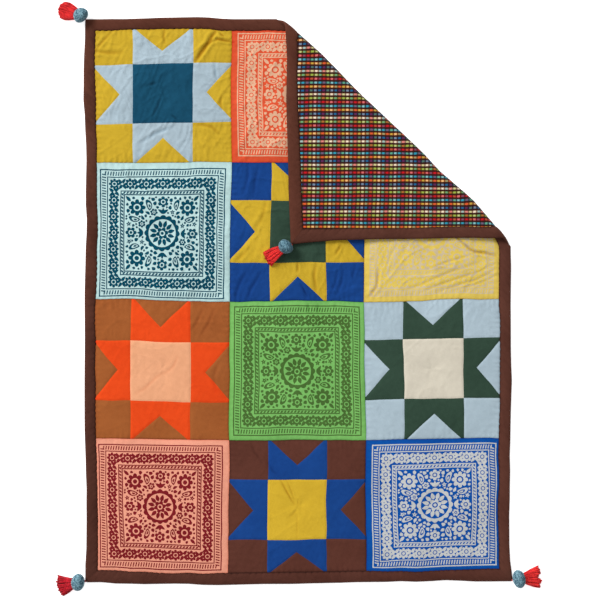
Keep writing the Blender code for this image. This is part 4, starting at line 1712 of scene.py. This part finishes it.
@dataclass
class StarBlock(PatchworkBlock):
    """A pieced star block. Its seams stand where they were sewn, not always at even shares."""

    sewn_across: Pair = (0.28, 0.72)
    sewn_up: Pair = (0.28, 0.72)
    # How much further up its inner seams lie at their right end.
    tilt: float = 0.0
    groove_depth: float = 0.0012
    groove_half: float = 0.0022

    def build(self, plan: FlatPlan, patch: StarPatch) -> None:
        """Build the block.

        Args:
            plan: the star cut out in the unit square.
            patch: the star's own shares.
        """
        low, high = patch.seam_shares
        share = plan.points.copy()
        for axis, sewn in ((0, self.sewn_across), (1, self.sewn_up)):
            share[:, axis] = np.interp(share[:, axis], (0, low, high, 1), (0, *sewn, 1))
        inner = np.interp(plan.points[:, 1], (0, low, high, 1), (0.0, 1.0, 1.0, 0.0))
        share[:, 1] += self.tilt / self.extent()[1] * (share[:, 0] - 0.5) * inner
        finishes = [CottonFinish(f"cotton_{self.label}_{part}", colour).material()
                    for part, colour in zip(("background", "star", "middle"), self.colours)]
        self.laid(plan, share, "star_block", finishes, self.grooves(plan.points, patch))

    def grooves(self, share: Array, patch: StarPatch) -> Array:
        """Seam grooves between the patches, as heights below the cloth.

        Args:
            share: places in the unit square.
            patch: the star's own shares.

        Returns:
            Heights, zero or less.
        """
        low, high = patch.seam_shares
        width, height = self.extent()
        gap = np.full(len(share), np.inf)
        for seam in (low, high):
            gap = np.minimum(gap, abs(share[:, 0] - seam) * width)
            gap = np.minimum(gap, abs(share[:, 1] - seam) * height)
        for start, end, point in patch.notches():
            away, _ = distance_to_path(share[:, 0], share[:, 1], np.array((start, point, end)))
            gap = np.minimum(gap, away * width)
        return -self.groove_depth * np.exp(-((gap / self.groove_half) ** 2))


@dataclass
class PrintBlock(PatchworkBlock):
    """A printed block: a ground cloth with one colour of ink."""

    # How far the print lies off the block's middle, as shares of the block to the right and up.
    off_middle: Pair = (0.0, 0.0)
    # Ink printed round the motifs, so that they keep the ground's colour.
    reversed_inside: bool = False

    def build(self, plan: FlatPlan, nominal: float) -> None:
        """Build the block.

        Args:
            plan: the printed cloth, cut as a square.
            nominal: the side of that square in metres.
        """
        finishes = [
            CottonFinish(f"cotton_{self.label}_ground", self.colours[0]).material(),
            CottonFinish(f"printed_{self.label}_ink", self.colours[1], clouds=0.5, depth=0.85).material(),
        ]
        share, paints, printed = plan.points / nominal, plan.paints, BlockPrint.half / nominal
        if self.reversed_inside:
            middles = share[plan.triangles].mean(axis=1) - 0.5
            paints = np.where(abs(middles).max(axis=1) < printed, 1 - paints, paints)
        free = np.clip(np.minimum(share, 1 - share) / (0.5 - printed), 0.0, 1.0)
        share = share + free * np.array(self.off_middle)
        self.laid(FlatPlan(plan.points, plan.triangles, paints), share, "print_block", finishes, 0.0)


@dataclass
class Backing:
    """The checked cloth under the padding, which shows on the turned-over corner."""

    coarse: float = 0.014
    fine: float = 0.0048
    fine_from_across: float = 0.49
    fine_from_up: float = 0.87
    # How far its edge is tucked under the binding, how much higher, and the cloth's least height.
    tuck: float = 0.002
    rim_rise: float = 0.0012
    least_height: float = 0.0002
    # How far the check keeps its rows even where the edge has drifted.
    even_rows: float = 0.8
    # How widely the fold's edge is shaded, in radians.
    fold_shade: float = 0.75

    def lines(self, low: float, fine_from: float, high: float) -> Array:
        """Grid lines along one side: coarse under the quilt, fine through the fold and the flap."""
        wide = np.linspace(low, fine_from, int(round((fine_from - low) / self.coarse)), endpoint=False)
        return np.concatenate((wide, np.linspace(fine_from, high, int(round((high - fine_from) / self.fine)))))

    def build(self) -> None:
        """Build the backing."""
        columns, rows = SIZES.column_seams, SIZES.row_seams
        across = self.lines(columns[0] - self.tuck, self.fine_from_across, columns[-1] + self.tuck)
        up = self.lines(rows[0] - self.tuck, self.fine_from_up, rows[-1] + self.tuck)
        grid_x, grid_y = (grid.ravel() for grid in np.meshgrid(across, up))
        below = LOFT.back(grid_x, grid_y)
        rim = (grid_x <= across[0]) | (grid_x >= across[-1]) | (grid_y <= up[0]) | (grid_y >= up[-1])
        points = RESTING.lie(grid_x, grid_y, -(below - self.rim_rise * rim))
        points[:, 2] = np.maximum(points[:, 2], self.least_height)
        facing_down = grid_faces(len(up), len(across))[:, [0, 3, 2, 1]]
        item = new_piece("backing_check", points, facing_down, [CheckFinish().material()])
        flat = np.stack((grid_x, grid_y), axis=1)
        angle = RESTING.fold_section(RESTING.roll_distance(grid_x, grid_y))[2]
        unrolled = below * (angle - math.pi - SIZES.roll_extra_turn * 0.5) * (angle < math.pi)
        woven = flat + unrolled[:, None] * RESTING.over_fold + 0.5 * LOFT.wander(grid_x, grid_y)
        woven[:, 0] += self.even_rows * RESTING.drift(grid_x, grid_y)[0]
        add_maps(item.data, {BAKE_MAP: flat / SIZES.length, FLAT_MAP: woven})
        # Painted shade along the fold's edge, where the cloth turns side-on.
        add_values(item.data, PAINTED_SHADE, np.exp(-(((angle - math.pi / 2) / self.fold_shade) ** 2)))
        settle(item, "patchwork", "quilt_body")


class Side(Enum):
    """The quilt's four sides."""

    BOTTOM = "bottom"
    LEFT = "left"
    TOP = "top"
    RIGHT = "right"


@dataclass
class Binding:
    """One side's binding: a bias strip turned over the edge and stitched down, gathered at its seam."""

    side: Side
    # Share of the way from seam to outer edge, then heights over and under mid-cloth.
    section: tuple = (
        (-0.060, 0.0016, 0.0016), (-0.015, 0.0030, 0.0022), (0.030, 0.0041, 0.0025), (0.090, 0.0049, 0.0025),
        (0.200, 0.0057, 0.0025), (0.350, 0.0062, 0.0025), (0.520, 0.0062, 0.0025), (0.680, 0.0058, 0.0025),
        (0.810, 0.0051, 0.0024), (0.910, 0.0040, 0.0022), (0.970, 0.0026, 0.0018), (1.000, 0.0008, 0.0008),
    )
    station: float = 0.0031
    # The stitched gathers: their pitch, depth, half width, and their reach over the strip's width.
    gather_pitch: float = 0.0165
    gather_depth: float = 0.0016
    gather_half: float = 0.0024
    gather_reach: float = 0.32
    gather_cell: float = 0.05
    # How the strip's thickness varies along it: cell and size of the broad swells and of the ribs.
    swells: Pair = (0.045, 0.13)
    ribs: Pair = (0.011, 0.07)
    wave: float = 0.0006
    overlap: float = 0.0004
    # The seam's shade: how far before the seam it starts and how far it reaches. The gathers' shade:
    # its strength and how far it reaches. All but the strength are shares of the strip's width.
    seam_shade: Pair = (0.03, 0.072)
    gather_shade: Pair = (0.9, 0.12)
    # The least height of its upper side over mid-cloth, and of any point over the floor.
    least_over: float = 0.0004
    least_height: float = 0.0003
    flat_width: float = 0.068
    # The display colours at each strip's near and far end; the left strip is darker at its bottom end.
    displays: tuple = (
        (Side.BOTTOM, (90, 52, 42), None),
        (Side.LEFT, (83, 48, 38), (101, 60, 46)),
        (Side.TOP, (98, 56, 43), None),
        (Side.RIGHT, (96, 57, 46), None),
    )

    def frame(self) -> tuple[Array, Array, Array, float, float, Triple]:
        """How the strip runs along its side.

        Returns:
            Its corner, its directions along and inward, its length and width, and how far the inner
            edge leads the outer one at the start, in the fold and at the end, per width.
        """
        left, right = SIZES.column_seams[0], SIZES.width - SIZES.column_seams[-1]
        bottom, top = SIZES.row_seams[0], SIZES.length - SIZES.row_seams[-1]
        along = RESTING.along_fold
        x_axis, y_axis = np.array((1.0, 0.0)), np.array((0.0, 1.0))
        table = {
            Side.BOTTOM: ((0, 0), x_axis, y_axis, SIZES.width, bottom, (left / bottom, 0, -right / bottom)),
            Side.LEFT: ((0, 0), y_axis, x_axis, SIZES.length, left, (bottom / left, 0, -top / left)),
            Side.TOP: ((0, SIZES.length), x_axis, -y_axis, SIZES.width, top,
                       (left / top, -along[0] / along[1], -right / top)),
            Side.RIGHT: ((SIZES.width, 0), y_axis, -x_axis, SIZES.length, right,
                         (bottom / right, -along[1] / along[0], -top / right)),
        }
        return table[self.side]

    def roll_range(self, corner: Array, along: Array, length: float) -> Pair | None:
        """Where the strip goes through the roll, if it does.

        Args:
            corner: the strip's corner.
            along: its direction.
            length: its length.

        Returns:
            Where it lifts off and where it lies flat again, along the outer edge.
        """
        places = np.linspace(0, length, 4001)
        edge = corner + places[:, None] * along
        distance = RESTING.roll_distance(edge[:, 0], edge[:, 1])
        inside = places[(distance > 0) & (distance < RESTING.roll_length * 1.15)]
        return (float(inside[0]), float(inside[-1])) if distance.max() > 0 else None

    def lead(self, places: Array, length: float, leads: tuple, roll: tuple | None) -> Array:
        """How far the strip's inner edge leads its outer edge.

        Args:
            places: stations along the strip.
            length: its length.
            leads: the leads at its start, in the fold and at its end.
            roll: where it goes through the roll.

        Returns:
            The lead at each station.
        """
        start, middle, end = leads
        if roll is None:
            return start + (end - start) * places / length
        return np.interp(places, (0, roll[0], roll[1], length), (start, middle, middle, end))

    def gathers(self, along: Array) -> Array:
        """Strength of the stitched gathers along the seam.

        Args:
            along: places along it.

        Returns:
            Strengths from 0 to 1.
        """
        cell, row = self.gather_cell, 0.3 * len(self.side.value)
        turn = along / self.gather_pitch + 0.35 * lattice_noise(along, along * 0 + row, cell, Seed.GATHER_PLACE)
        near = np.abs(turn - np.round(turn)) * self.gather_pitch
        strength = 0.62 + 0.38 * lattice_noise(np.round(turn) * cell, along * 0 + 0.41, cell, Seed.GATHER_SIZE)
        return strength * np.exp(-((near / self.gather_half) ** 2))

    def build(self) -> None:
        """Build the strip."""
        corner, along, inward, length, width, leads = self.frame()
        corner = np.array(corner, float)
        places = np.linspace(0, length, int(round(length / self.station)))
        lead = self.lead(places, length, leads, self.roll_range(corner, along, length))
        ends = np.zeros(len(places))
        ends[0], ends[-1] = -self.overlap, self.overlap
        gathers = self.gathers(places)
        uneven = lattice_noise(places, places * 0 + 0.2, self.swells[0], Seed.SWELL)
        ribbed = lattice_noise(places, places * 0 + 0.3, self.ribs[0], Seed.RIBS)
        outline = [(share, over, over, 1) for share, over, _ in self.section]
        outline += [(share, under, over, -1) for share, over, under in reversed(self.section[:-1])]
        rings, flats, painted_shades = [], [], []
        for share, height, over, side in outline:
            depth = width * (1 - share)
            reach = places + lead * np.clip(depth, 0, width) + ends
            near_seam = math.exp(-(max(share, 0.0) / self.gather_reach) ** 2)
            pulled = gathers * near_seam
            flat = corner + reach[:, None] * along + (depth + self.wave * uneven * near_seam)[:, None] * inward
            turned_over = RESTING.turned_share(flat[:, 0], flat[:, 1])
            bulk = 1 - abs(2 * np.clip(share, 0, 1) - 1)
            swell = 1 + (self.swells[1] * uneven + self.ribs[1] * ribbed) * bulk
            full = np.maximum(over * swell - self.gather_depth * pulled, self.least_over)
            low = np.minimum(full, SIZES.half_seam)
            if side > 0:
                above = full + (low - full) * turned_over
            else:
                above = -(height + (full - height) * turned_over)
            rings.append(RESTING.lie(flat[:, 0], flat[:, 1], above))
            flats.append(np.stack((places, np.full(len(places), side * (1 - share) * width)), axis=1))
            # Painted shade along the seam and in the gathers.
            seam_shade = math.exp(-(max(share + self.seam_shade[0], 0.0) / self.seam_shade[1]) ** 2)
            gather_shade = self.gather_shade[0] * pulled * math.exp(-(max(share, 0) / self.gather_shade[1]) ** 2)
            painted_shades.append(np.clip(seam_shade + gather_shade, 0, 1))
        points = np.concatenate(rings)
        points[:, 2] = np.maximum(points[:, 2], self.least_height)
        faces = grid_faces(len(outline), len(places))
        if self.side in (Side.BOTTOM, Side.RIGHT):
            faces = faces[:, ::-1]
        near, far = {side: ends for side, *ends in self.displays}[self.side]
        finish = CottonFinish(f"binding_cotton_{self.side.value}", near, clouds=0.5, depth=0.72,
                              far_display=far, run=float(length))
        item = new_piece(f"binding_cloth_{self.side.value}", points, faces, [finish.material()])
        flat = np.concatenate(flats)
        bake = np.stack((flat[:, 0] / length, 0.5 + flat[:, 1] / length), axis=1)
        add_maps(item.data, {BAKE_MAP: bake, FLAT_MAP: flat})
        add_values(item.data, PAINTED_SHADE, np.concatenate(painted_shades))
        settle(item, "binding", f"binding_{self.side.value}")


class Corner(Enum):
    """The quilt's four corners."""

    TOP_LEFT = "top_left"
    BOTTOM_LEFT = "bottom_left"
    BOTTOM_RIGHT = "bottom_right"
    FOLDED = "folded"


# Directions to start a strand's section from, for those that lie and for those that stand steeply.
GUIDES = (np.array((0.23, 0.31, 0.92)), np.array((0.95, 0.2, 0.1)))
STEEP = 0.8


def tube(path: Array, radius: Array, sides: int, closed: bool) -> tuple[Array, Array, Array]:
    """A round strand along a path.

    Args:
        path: points of the path.
        radius: the strand's radius at each point.
        sides: sides of its section.
        closed: whether the path joins its own start.

    Returns:
        Points, faces, and each point's place: share of the girth, and length along in metres.
    """
    ahead = np.roll(path, -1, axis=0) - np.roll(path, 1, axis=0)
    if not closed:
        ahead[0], ahead[-1] = path[1] - path[0], path[-1] - path[-2]
    ahead /= np.maximum(np.linalg.norm(ahead, axis=1, keepdims=True), TINY)
    first = np.cross(ahead, GUIDES[int(abs(ahead[:, 2]).mean() >= STEEP)])
    first /= np.maximum(np.linalg.norm(first, axis=1, keepdims=True), TINY)
    second = np.cross(ahead, first)
    turns = np.arange(sides) * 2 * math.pi / sides
    ring = first[:, None] * np.cos(turns)[None, :, None] + second[:, None] * np.sin(turns)[None, :, None]
    points = (path[:, None] + ring * radius[:, None, None]).reshape(-1, 3)
    count = len(path)
    here = np.arange(count if closed else count - 1)[:, None]
    row, next_row = here * sides, (here + 1) % count * sides
    side, next_side = np.arange(sides), (np.arange(sides) + 1) % sides
    corners = (row + side, next_row + side, next_row + next_side, row + next_side)
    faces = np.stack([corner.ravel() for corner in corners], axis=1)
    run = np.concatenate(((0.0,), np.cumsum(np.linalg.norm(np.diff(path, axis=0), axis=1))))
    place = np.stack((np.tile(np.arange(sides) / sides, count), np.repeat(run, sides)), axis=1)
    return points, faces, place


@dataclass
class StrandBundle:
    """Collects many strands into one mesh."""

    sides: int = 5
    # How much of its own step on the map a strand's girth fills, and the strands' least height.
    girth_share: float = 0.98
    least_height: float = 0.0004
    count: int = 0
    strands: list = field(default_factory=list)

    def add(self, path: Array, radius: Array | float, closed: bool, depth: Array | float) -> None:
        """Add one strand.

        Args:
            path: its points.
            radius: its radius, or that at each point.
            closed: whether it is a ring.
            depth: how deep it lies among the others, from 0 to 1, or that of each point, stored as painted shade.
        """
        points, faces, place = tube(path, np.broadcast_to(radius, len(path)), self.sides, closed)
        place = place * (self.girth_share, 1.0) + (len(self.strands), 0.0)
        depths = np.repeat(np.broadcast_to(depth, len(path)), self.sides)
        self.strands.append((points, faces + self.count, place, depths))
        self.count += len(points)

    def piece(self, name: str, finish: YarnFinish) -> bpy.types.Object:
        """Turn the strands into an object.

        Args:
            name: the piece's name.
            finish: its yarn.

        Returns:
            The object.
        """
        points, faces, places, depths = (np.concatenate(part) for part in zip(*self.strands))
        points[:, 2] = np.maximum(points[:, 2], self.least_height)
        item = new_piece(name, points, faces, [finish.material()])
        add_maps(item.data, {FLAT_MAP: places})
        add_values(item.data, PAINTED_SHADE, depths)
        return item


@dataclass(frozen=True)
class Winding:
    """How a ball is wound, in shares of its radius except for the core yarn's half thickness in metres."""

    core_rings: int = 15
    core_top: float = 0.9
    core_size: float = 0.86
    core_half: float = 0.0032
    # Painted shade on the core yarn.
    core_depth: float = 0.55
    # The yarn over the core: the size of the first bundle and what the last one adds, how far from
    # the ball's middle a bundle may lie, its loops' pitch in half thicknesses, and their least radius.
    size: Pair = (0.845, 0.075)
    off_middle: float = 0.42
    loop_pitch: float = 1.7
    least_square: float = 0.05
    # A loop's waves: how many in a turn, and their size.
    waves: tuple = ((3, 0.012), (5, 0.010))
    # Painted shade on the first bundle, fading to none on the last.
    depth: float = 0.3


@dataclass(frozen=True)
class Locks:
    """A tassel's layers of locks, from the lowest up, and how chance sets them apart."""

    counts: tuple[int, ...] = (12, 11, 8)
    strands: int = 6
    half: float = 0.0029
    twist_pitch: float = 0.040
    # What each layer adds to the one below: narrower, shorter, and higher in half thicknesses.
    narrower: float = 0.10
    shorter: float = 0.04
    higher: float = 1.25
    # Where a layer starts up the ball and how deep it lies, painted as shade: the lowest one's, and a step for
    # each.
    start: Pair = (0.45, 0.30)
    depth: Pair = (0.40, -0.20)
    # Painted shade added to the strands on a lock's underside.
    under_depth: float = 0.25
    # How far chance may change a lock's place, length and bend, and its thickness's two ends.
    off_place: float = 0.02
    off_length: float = 0.055
    off_bend: float = 0.05
    thickness: Pair = (0.92, 1.08)
    # A strand's distance from its lock's middle and its radius, in the lock's half thickness, how
    # much thinner its end is, and how far it may end before or after the lock.
    strand_offset: float = 0.60
    strand_half: float = 0.44
    taper: float = 0.35
    ragged: float = 0.04


@dataclass
class CornerTrim:
    """A ball of yarn, its knot and its tassel at one corner. Lengths are in metres, angles in degrees."""

    corner: Corner
    half: Triple
    turn: float
    heading: float
    root: float
    tips: float
    length: float
    # The ball's centre from its knot, the way the corner presses it, and how deep that side is left.
    from_knot: Pair
    pressed: float
    pressed_share: float
    ball_displays: tuple = ((148, 190, 204), (44, 84, 102))
    # Where along the tassel it is fully fanned out, how round its end is, and how deep its end's notch.
    flare: float = 1.0
    rounding: float = 0.55
    notch: float = 0.0
    notch_half: float = 0.13
    tassel_displays: tuple = ((252, 54, 50), (196, 16, 28))
    bundles: int = 17
    loops: int = 5
    yarn_half: float = 0.00150
    winding: Winding = Winding()
    locks: Locks = Locks()
    # The knot's rings: their turn in radians and their size, and all their thickness and depth; the depth is
    # painted as shade that grows from ring to ring.
    knot_rings: tuple = ((0.2, 1.0), (1.2, 0.95), (2.1, 1.05), (2.9, 0.8))
    knot_size: float = 0.72
    knot_half: float = 0.0011
    knot_margin: float = 0.0002
    knot_depth: float = 0.2

    def ball_centre(self) -> Array:
        """Find the ball.

        Returns:
            Its centre, read from its knot and, for its height, from its solid.
        """
        low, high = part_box(f"pompom_{self.corner.value}")
        knot_low, knot_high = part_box(f"tie_{self.corner.value}")
        knot = (knot_low + knot_high) / 2
        return np.array((knot.x + self.from_knot[0], knot.y + self.from_knot[1], (low.z + high.z) / 2))

    def placed(self, shape: Array) -> Array:
        """Put points of a unit ball in place.

        Args:
            shape: the points.

        Returns:
            The points, sized, turned, flattened on the pressed side and moved.
        """
        angle = math.radians(self.turn)
        sized = shape * np.array(self.half)
        flat = turned(sized[:, :2], angle)
        way = math.radians(self.pressed)
        outward = np.array((math.cos(way), math.sin(way)))
        reach = np.minimum(flat @ outward, 0.0)
        flat = flat - (1.0 - self.pressed_share) * reach[:, None] * outward
        return np.column_stack((flat, sized[:, 2])) + self.ball_centre()

    def ball(self) -> None:
        """Build the wound ball."""
        chance = np.random.RandomState(Seed.BALL + len(self.corner.value))
        bundle, wound = StrandBundle(), self.winding
        angles = full_turn(22)
        for ring in np.linspace(-wound.core_top, wound.core_top, wound.core_rings):
            reach = math.sqrt(1 - ring * ring) * wound.core_size
            path = np.column_stack((round_shape(angles, reach), np.full(len(angles), ring * wound.core_size)))
            bundle.add(self.placed(path), wound.core_half, True, wound.core_depth)
        angles = full_turn(40)
        mean_half = float(np.mean(self.half))
        (slow, slow_size), (quick, quick_size) = wound.waves
        for number in range(self.bundles):
            axis = chance.normal(size=3)
            axis /= np.linalg.norm(axis)
            first = np.cross(axis, (0.3, 0.5, 0.81))
            first /= np.linalg.norm(first)
            second = np.cross(axis, first)
            layer = wound.size[0] + wound.size[1] * number / self.bundles
            # Painted shade: the earlier bundles, which lie under the later ones, are darker.
            depth = wound.depth * (1 - number / self.bundles)
            middle = chance.uniform(-wound.off_middle, wound.off_middle)
            for loop in range(self.loops):
                place = middle + (loop - (self.loops - 1) / 2) * wound.loop_pitch * self.yarn_half / mean_half
                reach = math.sqrt(max(1 - place * place, wound.least_square))
                wobble = (slow_size * np.sin(angles * slow + chance.uniform(0, 6))
                          + quick_size * np.sin(angles * quick + loop))
                path = (axis * (place + 0.5 * wobble[:, None])
                        + reach * (np.cos(angles)[:, None] * first + np.sin(angles)[:, None] * second))
                path *= (layer + wobble * 0.6)[:, None]
                bundle.add(self.placed(path), self.yarn_half, True, depth)
        finish = YarnFinish(f"ball_yarn_{self.corner.value}", *self.ball_displays, pitch=0.004)
        item = bundle.piece(f"yarn_ball_{self.corner.value}", finish)
        settle(item, "pompom", f"pompom_{self.corner.value}")

    def floor_height(self, points: Array) -> Array:
        """Find what the tassel lies on: the floor, or the patchwork under it.

        Args:
            points: places in the world.

        Returns:
            The height of the rest at each.
        """
        shift = RESTING.shift()
        across, up = points[:, 0] - shift[0], points[:, 1] - shift[1]
        on_quilt = (across > 0) & (across < SIZES.width) & (up > 0) & (up < SIZES.length)
        above, _ = LOFT.front(across, up)
        return np.where(on_quilt, SIZES.half_seam + above, 0.0)

    def tassel(self) -> None:
        """Build the tassel: layers of plump locks, each of twisted strands, that fan out and lie down."""
        chance = np.random.RandomState(Seed.TASSEL + len(self.corner.value))
        heading = math.radians(self.heading)
        ahead = np.array((math.cos(heading), math.sin(heading), 0.0))
        side = np.array((-ahead[1], ahead[0], 0.0))
        centre = self.ball_centre()
        start = centre + ahead * self.half[0] * 0.70
        bundle, cut = StrandBundle(), self.locks
        share = np.linspace(0, 1, 20)
        spread = self.root + (self.tips - self.root) * np.minimum(share / self.flare, 1.0)
        for layer, count in enumerate(cut.counts):
            begin = float(centre[2]) * (cut.start[0] + cut.start[1] * layer)
            for lock in range(count):
                across = ((lock + 0.5) / count - 0.5) * (1 - cut.narrower * layer)
                across += chance.uniform(-cut.off_place, cut.off_place)
                uneven = 1 + cut.off_length * chance.uniform(-1, 1) - cut.shorter * layer
                reach = (self.length + self.half[0] * 0.30) * uneven
                notched = 1.0 - self.notch * math.exp(-((across / self.notch_half) ** 2))
                reach *= (1.0 - self.rounding * across**2) * notched
                bend = chance.uniform(-cut.off_bend, cut.off_bend)
                lie = start + ahead * (reach * share)[:, None]
                lie = lie + side * (spread * across + self.length * bend * np.sin(math.pi * share))[:, None]
                thick = cut.half * (0.70 + 0.30 * smooth_step(share * 1.8)) * chance.uniform(*cut.thickness)
                rest = self.floor_height(lie) + cut.half * (1.0 + cut.higher * layer)
                lie[:, 2] = rest + (begin - rest) * (1 - smooth_step(share * 1.5))
                for strand in range(cut.strands):
                    turn = 2 * math.pi * (strand / (cut.strands - 1) + share * reach / cut.twist_pitch)
                    offset = thick * cut.strand_offset * (strand > 0)
                    wound = lie + side * (offset * np.cos(turn))[:, None]
                    wound[:, 2] += offset * np.sin(turn)
                    wound += ahead * (share * reach * cut.ragged * chance.uniform(-1, 0.6))[:, None]
                    radius = thick * cut.strand_half * (1 - cut.taper * smooth_step((share - 0.90) / 0.10))
                    # Painted shade: the lower layers, and the strands under each lock, are darker.
                    deep = (cut.depth[0] + cut.depth[1] * layer) + cut.under_depth * (np.sin(turn) < -0.3)
                    bundle.add(wound, radius, False, np.clip(deep, 0, 1))
        finish = YarnFinish(f"tassel_yarn_{self.corner.value}", *self.tassel_displays, pitch=0.005, fleck=0.012)
        item = bundle.piece(f"tassel_strands_{self.corner.value}", finish)
        settle(item, "tassel", f"tassel_{self.corner.value}")

    def tie(self) -> None:
        """Build the knot of red yarn between the corner and its ball."""
        low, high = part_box(f"tie_{self.corner.value}")
        middle, half = np.array((low + high) / 2), np.array((high - low) / 2)
        bundle, angles = StrandBundle(), full_turn(18)
        for number, (tilt, size) in enumerate(self.knot_rings):
            ring = np.column_stack((turned(round_shape(angles, 1.0) * (1, 0), tilt), np.sin(angles)))
            path = middle + ring * (half + self.knot_margin) * self.knot_size * size
            bundle.add(path, self.knot_half, True, self.knot_depth * number / len(self.knot_rings))
        finish = YarnFinish(f"tie_yarn_{self.corner.value}", *self.tassel_displays, pitch=0.003)
        item = bundle.piece(f"tie_wound_{self.corner.value}", finish)
        settle(item, "tassel", f"tie_{self.corner.value}")

    def build(self) -> None:
        """Build the ball, the tassel and the knot."""
        self.ball()
        self.tassel()
        self.tie()


@dataclass
class Studio:
    """Floor, lights and the camera above. Lengths in metres."""

    floor_half: float = 4.0
    floor_drop: float = 0.0004
    view_centre: Pair = (0.5789, 0.7641)
    view_width: float = 1.62
    camera_height: float = 6.0
    sensor: float = 36.0
    sky: float = 0.49
    key_size: float = 14.4
    key_place: Triple = (-24.0, 22.0, 22.4)
    key_power: float = 14400.0

    def floor(self) -> None:
        """Lay the floor."""
        half = self.floor_half
        points = np.column_stack((box_shape(-half, -half, half, half), np.full(4, -self.floor_drop)))
        item = new_piece("studio_floor", points, np.array(((0, 1, 2, 3),)), [FloorFinish().material()])

    def camera(self) -> None:
        """Set the camera straight above the middle of the view."""
        data = bpy.data.cameras.new("camera_above")
        data.sensor_width = self.sensor
        data.lens = self.sensor * self.camera_height / self.view_width
        item = bpy.data.objects.new("camera_above", data)
        shift = RESTING.shift()
        item.location = (self.view_centre[0] + shift[0], self.view_centre[1] + shift[1], self.camera_height)
        bpy.context.scene.collection.objects.link(item)
        bpy.context.scene.camera = item

    def lights(self) -> None:
        """A pale sky and one broad soft light from the upper left."""
        world = bpy.data.worlds.new("studio_sky")
        world.use_nodes = True
        board = NodeBoard(world.node_tree)
        sky = board.add("ShaderNodeBackground", {"Color": (1.0, 1.0, 1.0, 1.0), "Strength": self.sky})
        board.add("ShaderNodeOutputWorld", {"Surface": sky.outputs[0]})
        bpy.context.scene.world = world
        data = bpy.data.lights.new("key_light", "AREA")
        data.shape = "SQUARE"
        data.size = self.key_size
        data.energy = self.key_power
        item = bpy.data.objects.new("key_light", data)
        item.location = self.key_place
        item.rotation_euler = (-Vector(self.key_place)).to_track_quat("-Z", "Y").to_euler()
        bpy.context.scene.collection.objects.link(item)

    def build(self) -> None:
        """Build the studio."""
        self.floor()
        self.camera()
        self.lights()
        bpy.context.scene.view_settings.view_transform = "Standard"
        bpy.context.scene.view_settings.look = "None"


# A plan's grid: how far apart its points are, and how close to an outline one may lie. The star's is
# in shares of the block and the print's in metres.
STAR_GRID = (0.0072, 0.0030)
PRINT_GRID = (0.0042, 0.0006)
MUSTARD, PALE_BLUE, TEAL = (213, 177, 50), (180, 199, 210), (24, 81, 109)
ROYAL_BLUE, PINE, CREAM = (24, 71, 142), (54, 77, 63), (222, 214, 196)
CARAMEL, VERMILION, PEACH, BARK = (170, 97, 49), (242, 80, 28), (247, 178, 135), (98, 56, 45)
STAR_BLOCKS = (
    StarBlock(3, 0, (MUSTARD, PALE_BLUE, TEAL), sewn_across=(0.271, 0.715), sewn_up=(0.300, 0.748),
              tilt=0.0072),
    StarBlock(3, 2, (CREAM, (180, 60, 70), PINE)),
    StarBlock(2, 1, (ROYAL_BLUE, MUSTARD, PINE), sewn_across=(0.297, 0.718), sewn_up=(0.282, 0.728)),
    StarBlock(1, 0, (CARAMEL, VERMILION, PEACH), sewn_across=(0.263, 0.711), sewn_up=(0.274, 0.704)),
    StarBlock(1, 2, (PALE_BLUE, PINE, CREAM), sewn_across=(0.288, 0.733), sewn_up=(0.289, 0.725)),
    StarBlock(0, 1, (BARK, ROYAL_BLUE, (219, 181, 52)), sewn_across=(0.286, 0.713), sewn_up=(0.250, 0.704)),
)
PRINT_BLOCKS = (
    PrintBlock(3, 1, ((231, 90, 55), (235, 184, 150)), off_middle=(0.013, 0.015)),
    PrintBlock(2, 0, ((200, 231, 230), (0, 76, 98)), off_middle=(-0.009, -0.014)),
    PrintBlock(2, 2, ((234, 205, 98), (217, 198, 160)), reversed_inside=True),
    PrintBlock(1, 1, ((129, 194, 105), (79, 114, 54))),
    PrintBlock(0, 0, ((246, 168, 141), (133, 29, 37)), off_middle=(-0.016, -0.011)),
    PrintBlock(0, 2, ((6, 83, 168), (203, 205, 204)), off_middle=(0.014, -0.004)),
)
CORNER_TRIMS = (
    CornerTrim(Corner.TOP_LEFT, half=(0.0216, 0.0216, 0.0185), turn=0, heading=162, root=0.030, tips=0.044,
               length=0.044, from_knot=(-0.0092, 0.0079), pressed=138, pressed_share=0.67, flare=0.65,
               rounding=0.8, tassel_displays=((242, 48, 48), (190, 14, 28))),
    CornerTrim(Corner.BOTTOM_LEFT, half=(0.0183, 0.0237, 0.0190), turn=-12, heading=192, root=0.026, tips=0.062,
               length=0.041, from_knot=(-0.0176, -0.0014), pressed=185, pressed_share=0.90, rounding=0.9,
               tassel_displays=((212, 22, 42), (148, 8, 26))),
    CornerTrim(Corner.BOTTOM_RIGHT, half=(0.0170, 0.0255, 0.0180), turn=12, heading=5, root=0.025, tips=0.061,
               length=0.046, from_knot=(0.0177, 0.0041), pressed=10, pressed_share=0.94, rounding=0.7,
               notch=0.20),
    CornerTrim(Corner.FOLDED, half=(0.0216, 0.0205, 0.0180), turn=20, heading=215, root=0.021, tips=0.043,
               length=0.044, from_knot=(-0.0142, -0.0033), pressed=225, pressed_share=0.62, rounding=0.3,
               ball_displays=((128, 170, 186), (36, 74, 92))),
)


def main() -> None:
    """Build the studio and every piece of the quilt."""
    logging.basicConfig(level=logging.INFO, format="%(message)s")
    Studio().build()
    left, right = SIZES.column_seams[:2]
    block_side = right - left
    patch = StarPatch()
    star_plan = flat_plan(1.0, 1.0, patch.drawn(), *STAR_GRID)
    printed = [(paint, outline + block_side / 2) for paint, outline in BlockPrint().drawn()]
    print_plan = flat_plan(block_side, block_side, printed, *PRINT_GRID)
    LOG.info("plans: %d and %d faces", len(star_plan.triangles), len(print_plan.triangles))
    Backing().build()
    for block in STAR_BLOCKS:
        block.build(star_plan, patch)
    for block in PRINT_BLOCKS:
        block.build(print_plan, block_side)
    for side in Side:
        Binding(side).build()
    for trim in CORNER_TRIMS:
        trim.build()


if __name__ == "__main__":
    main()
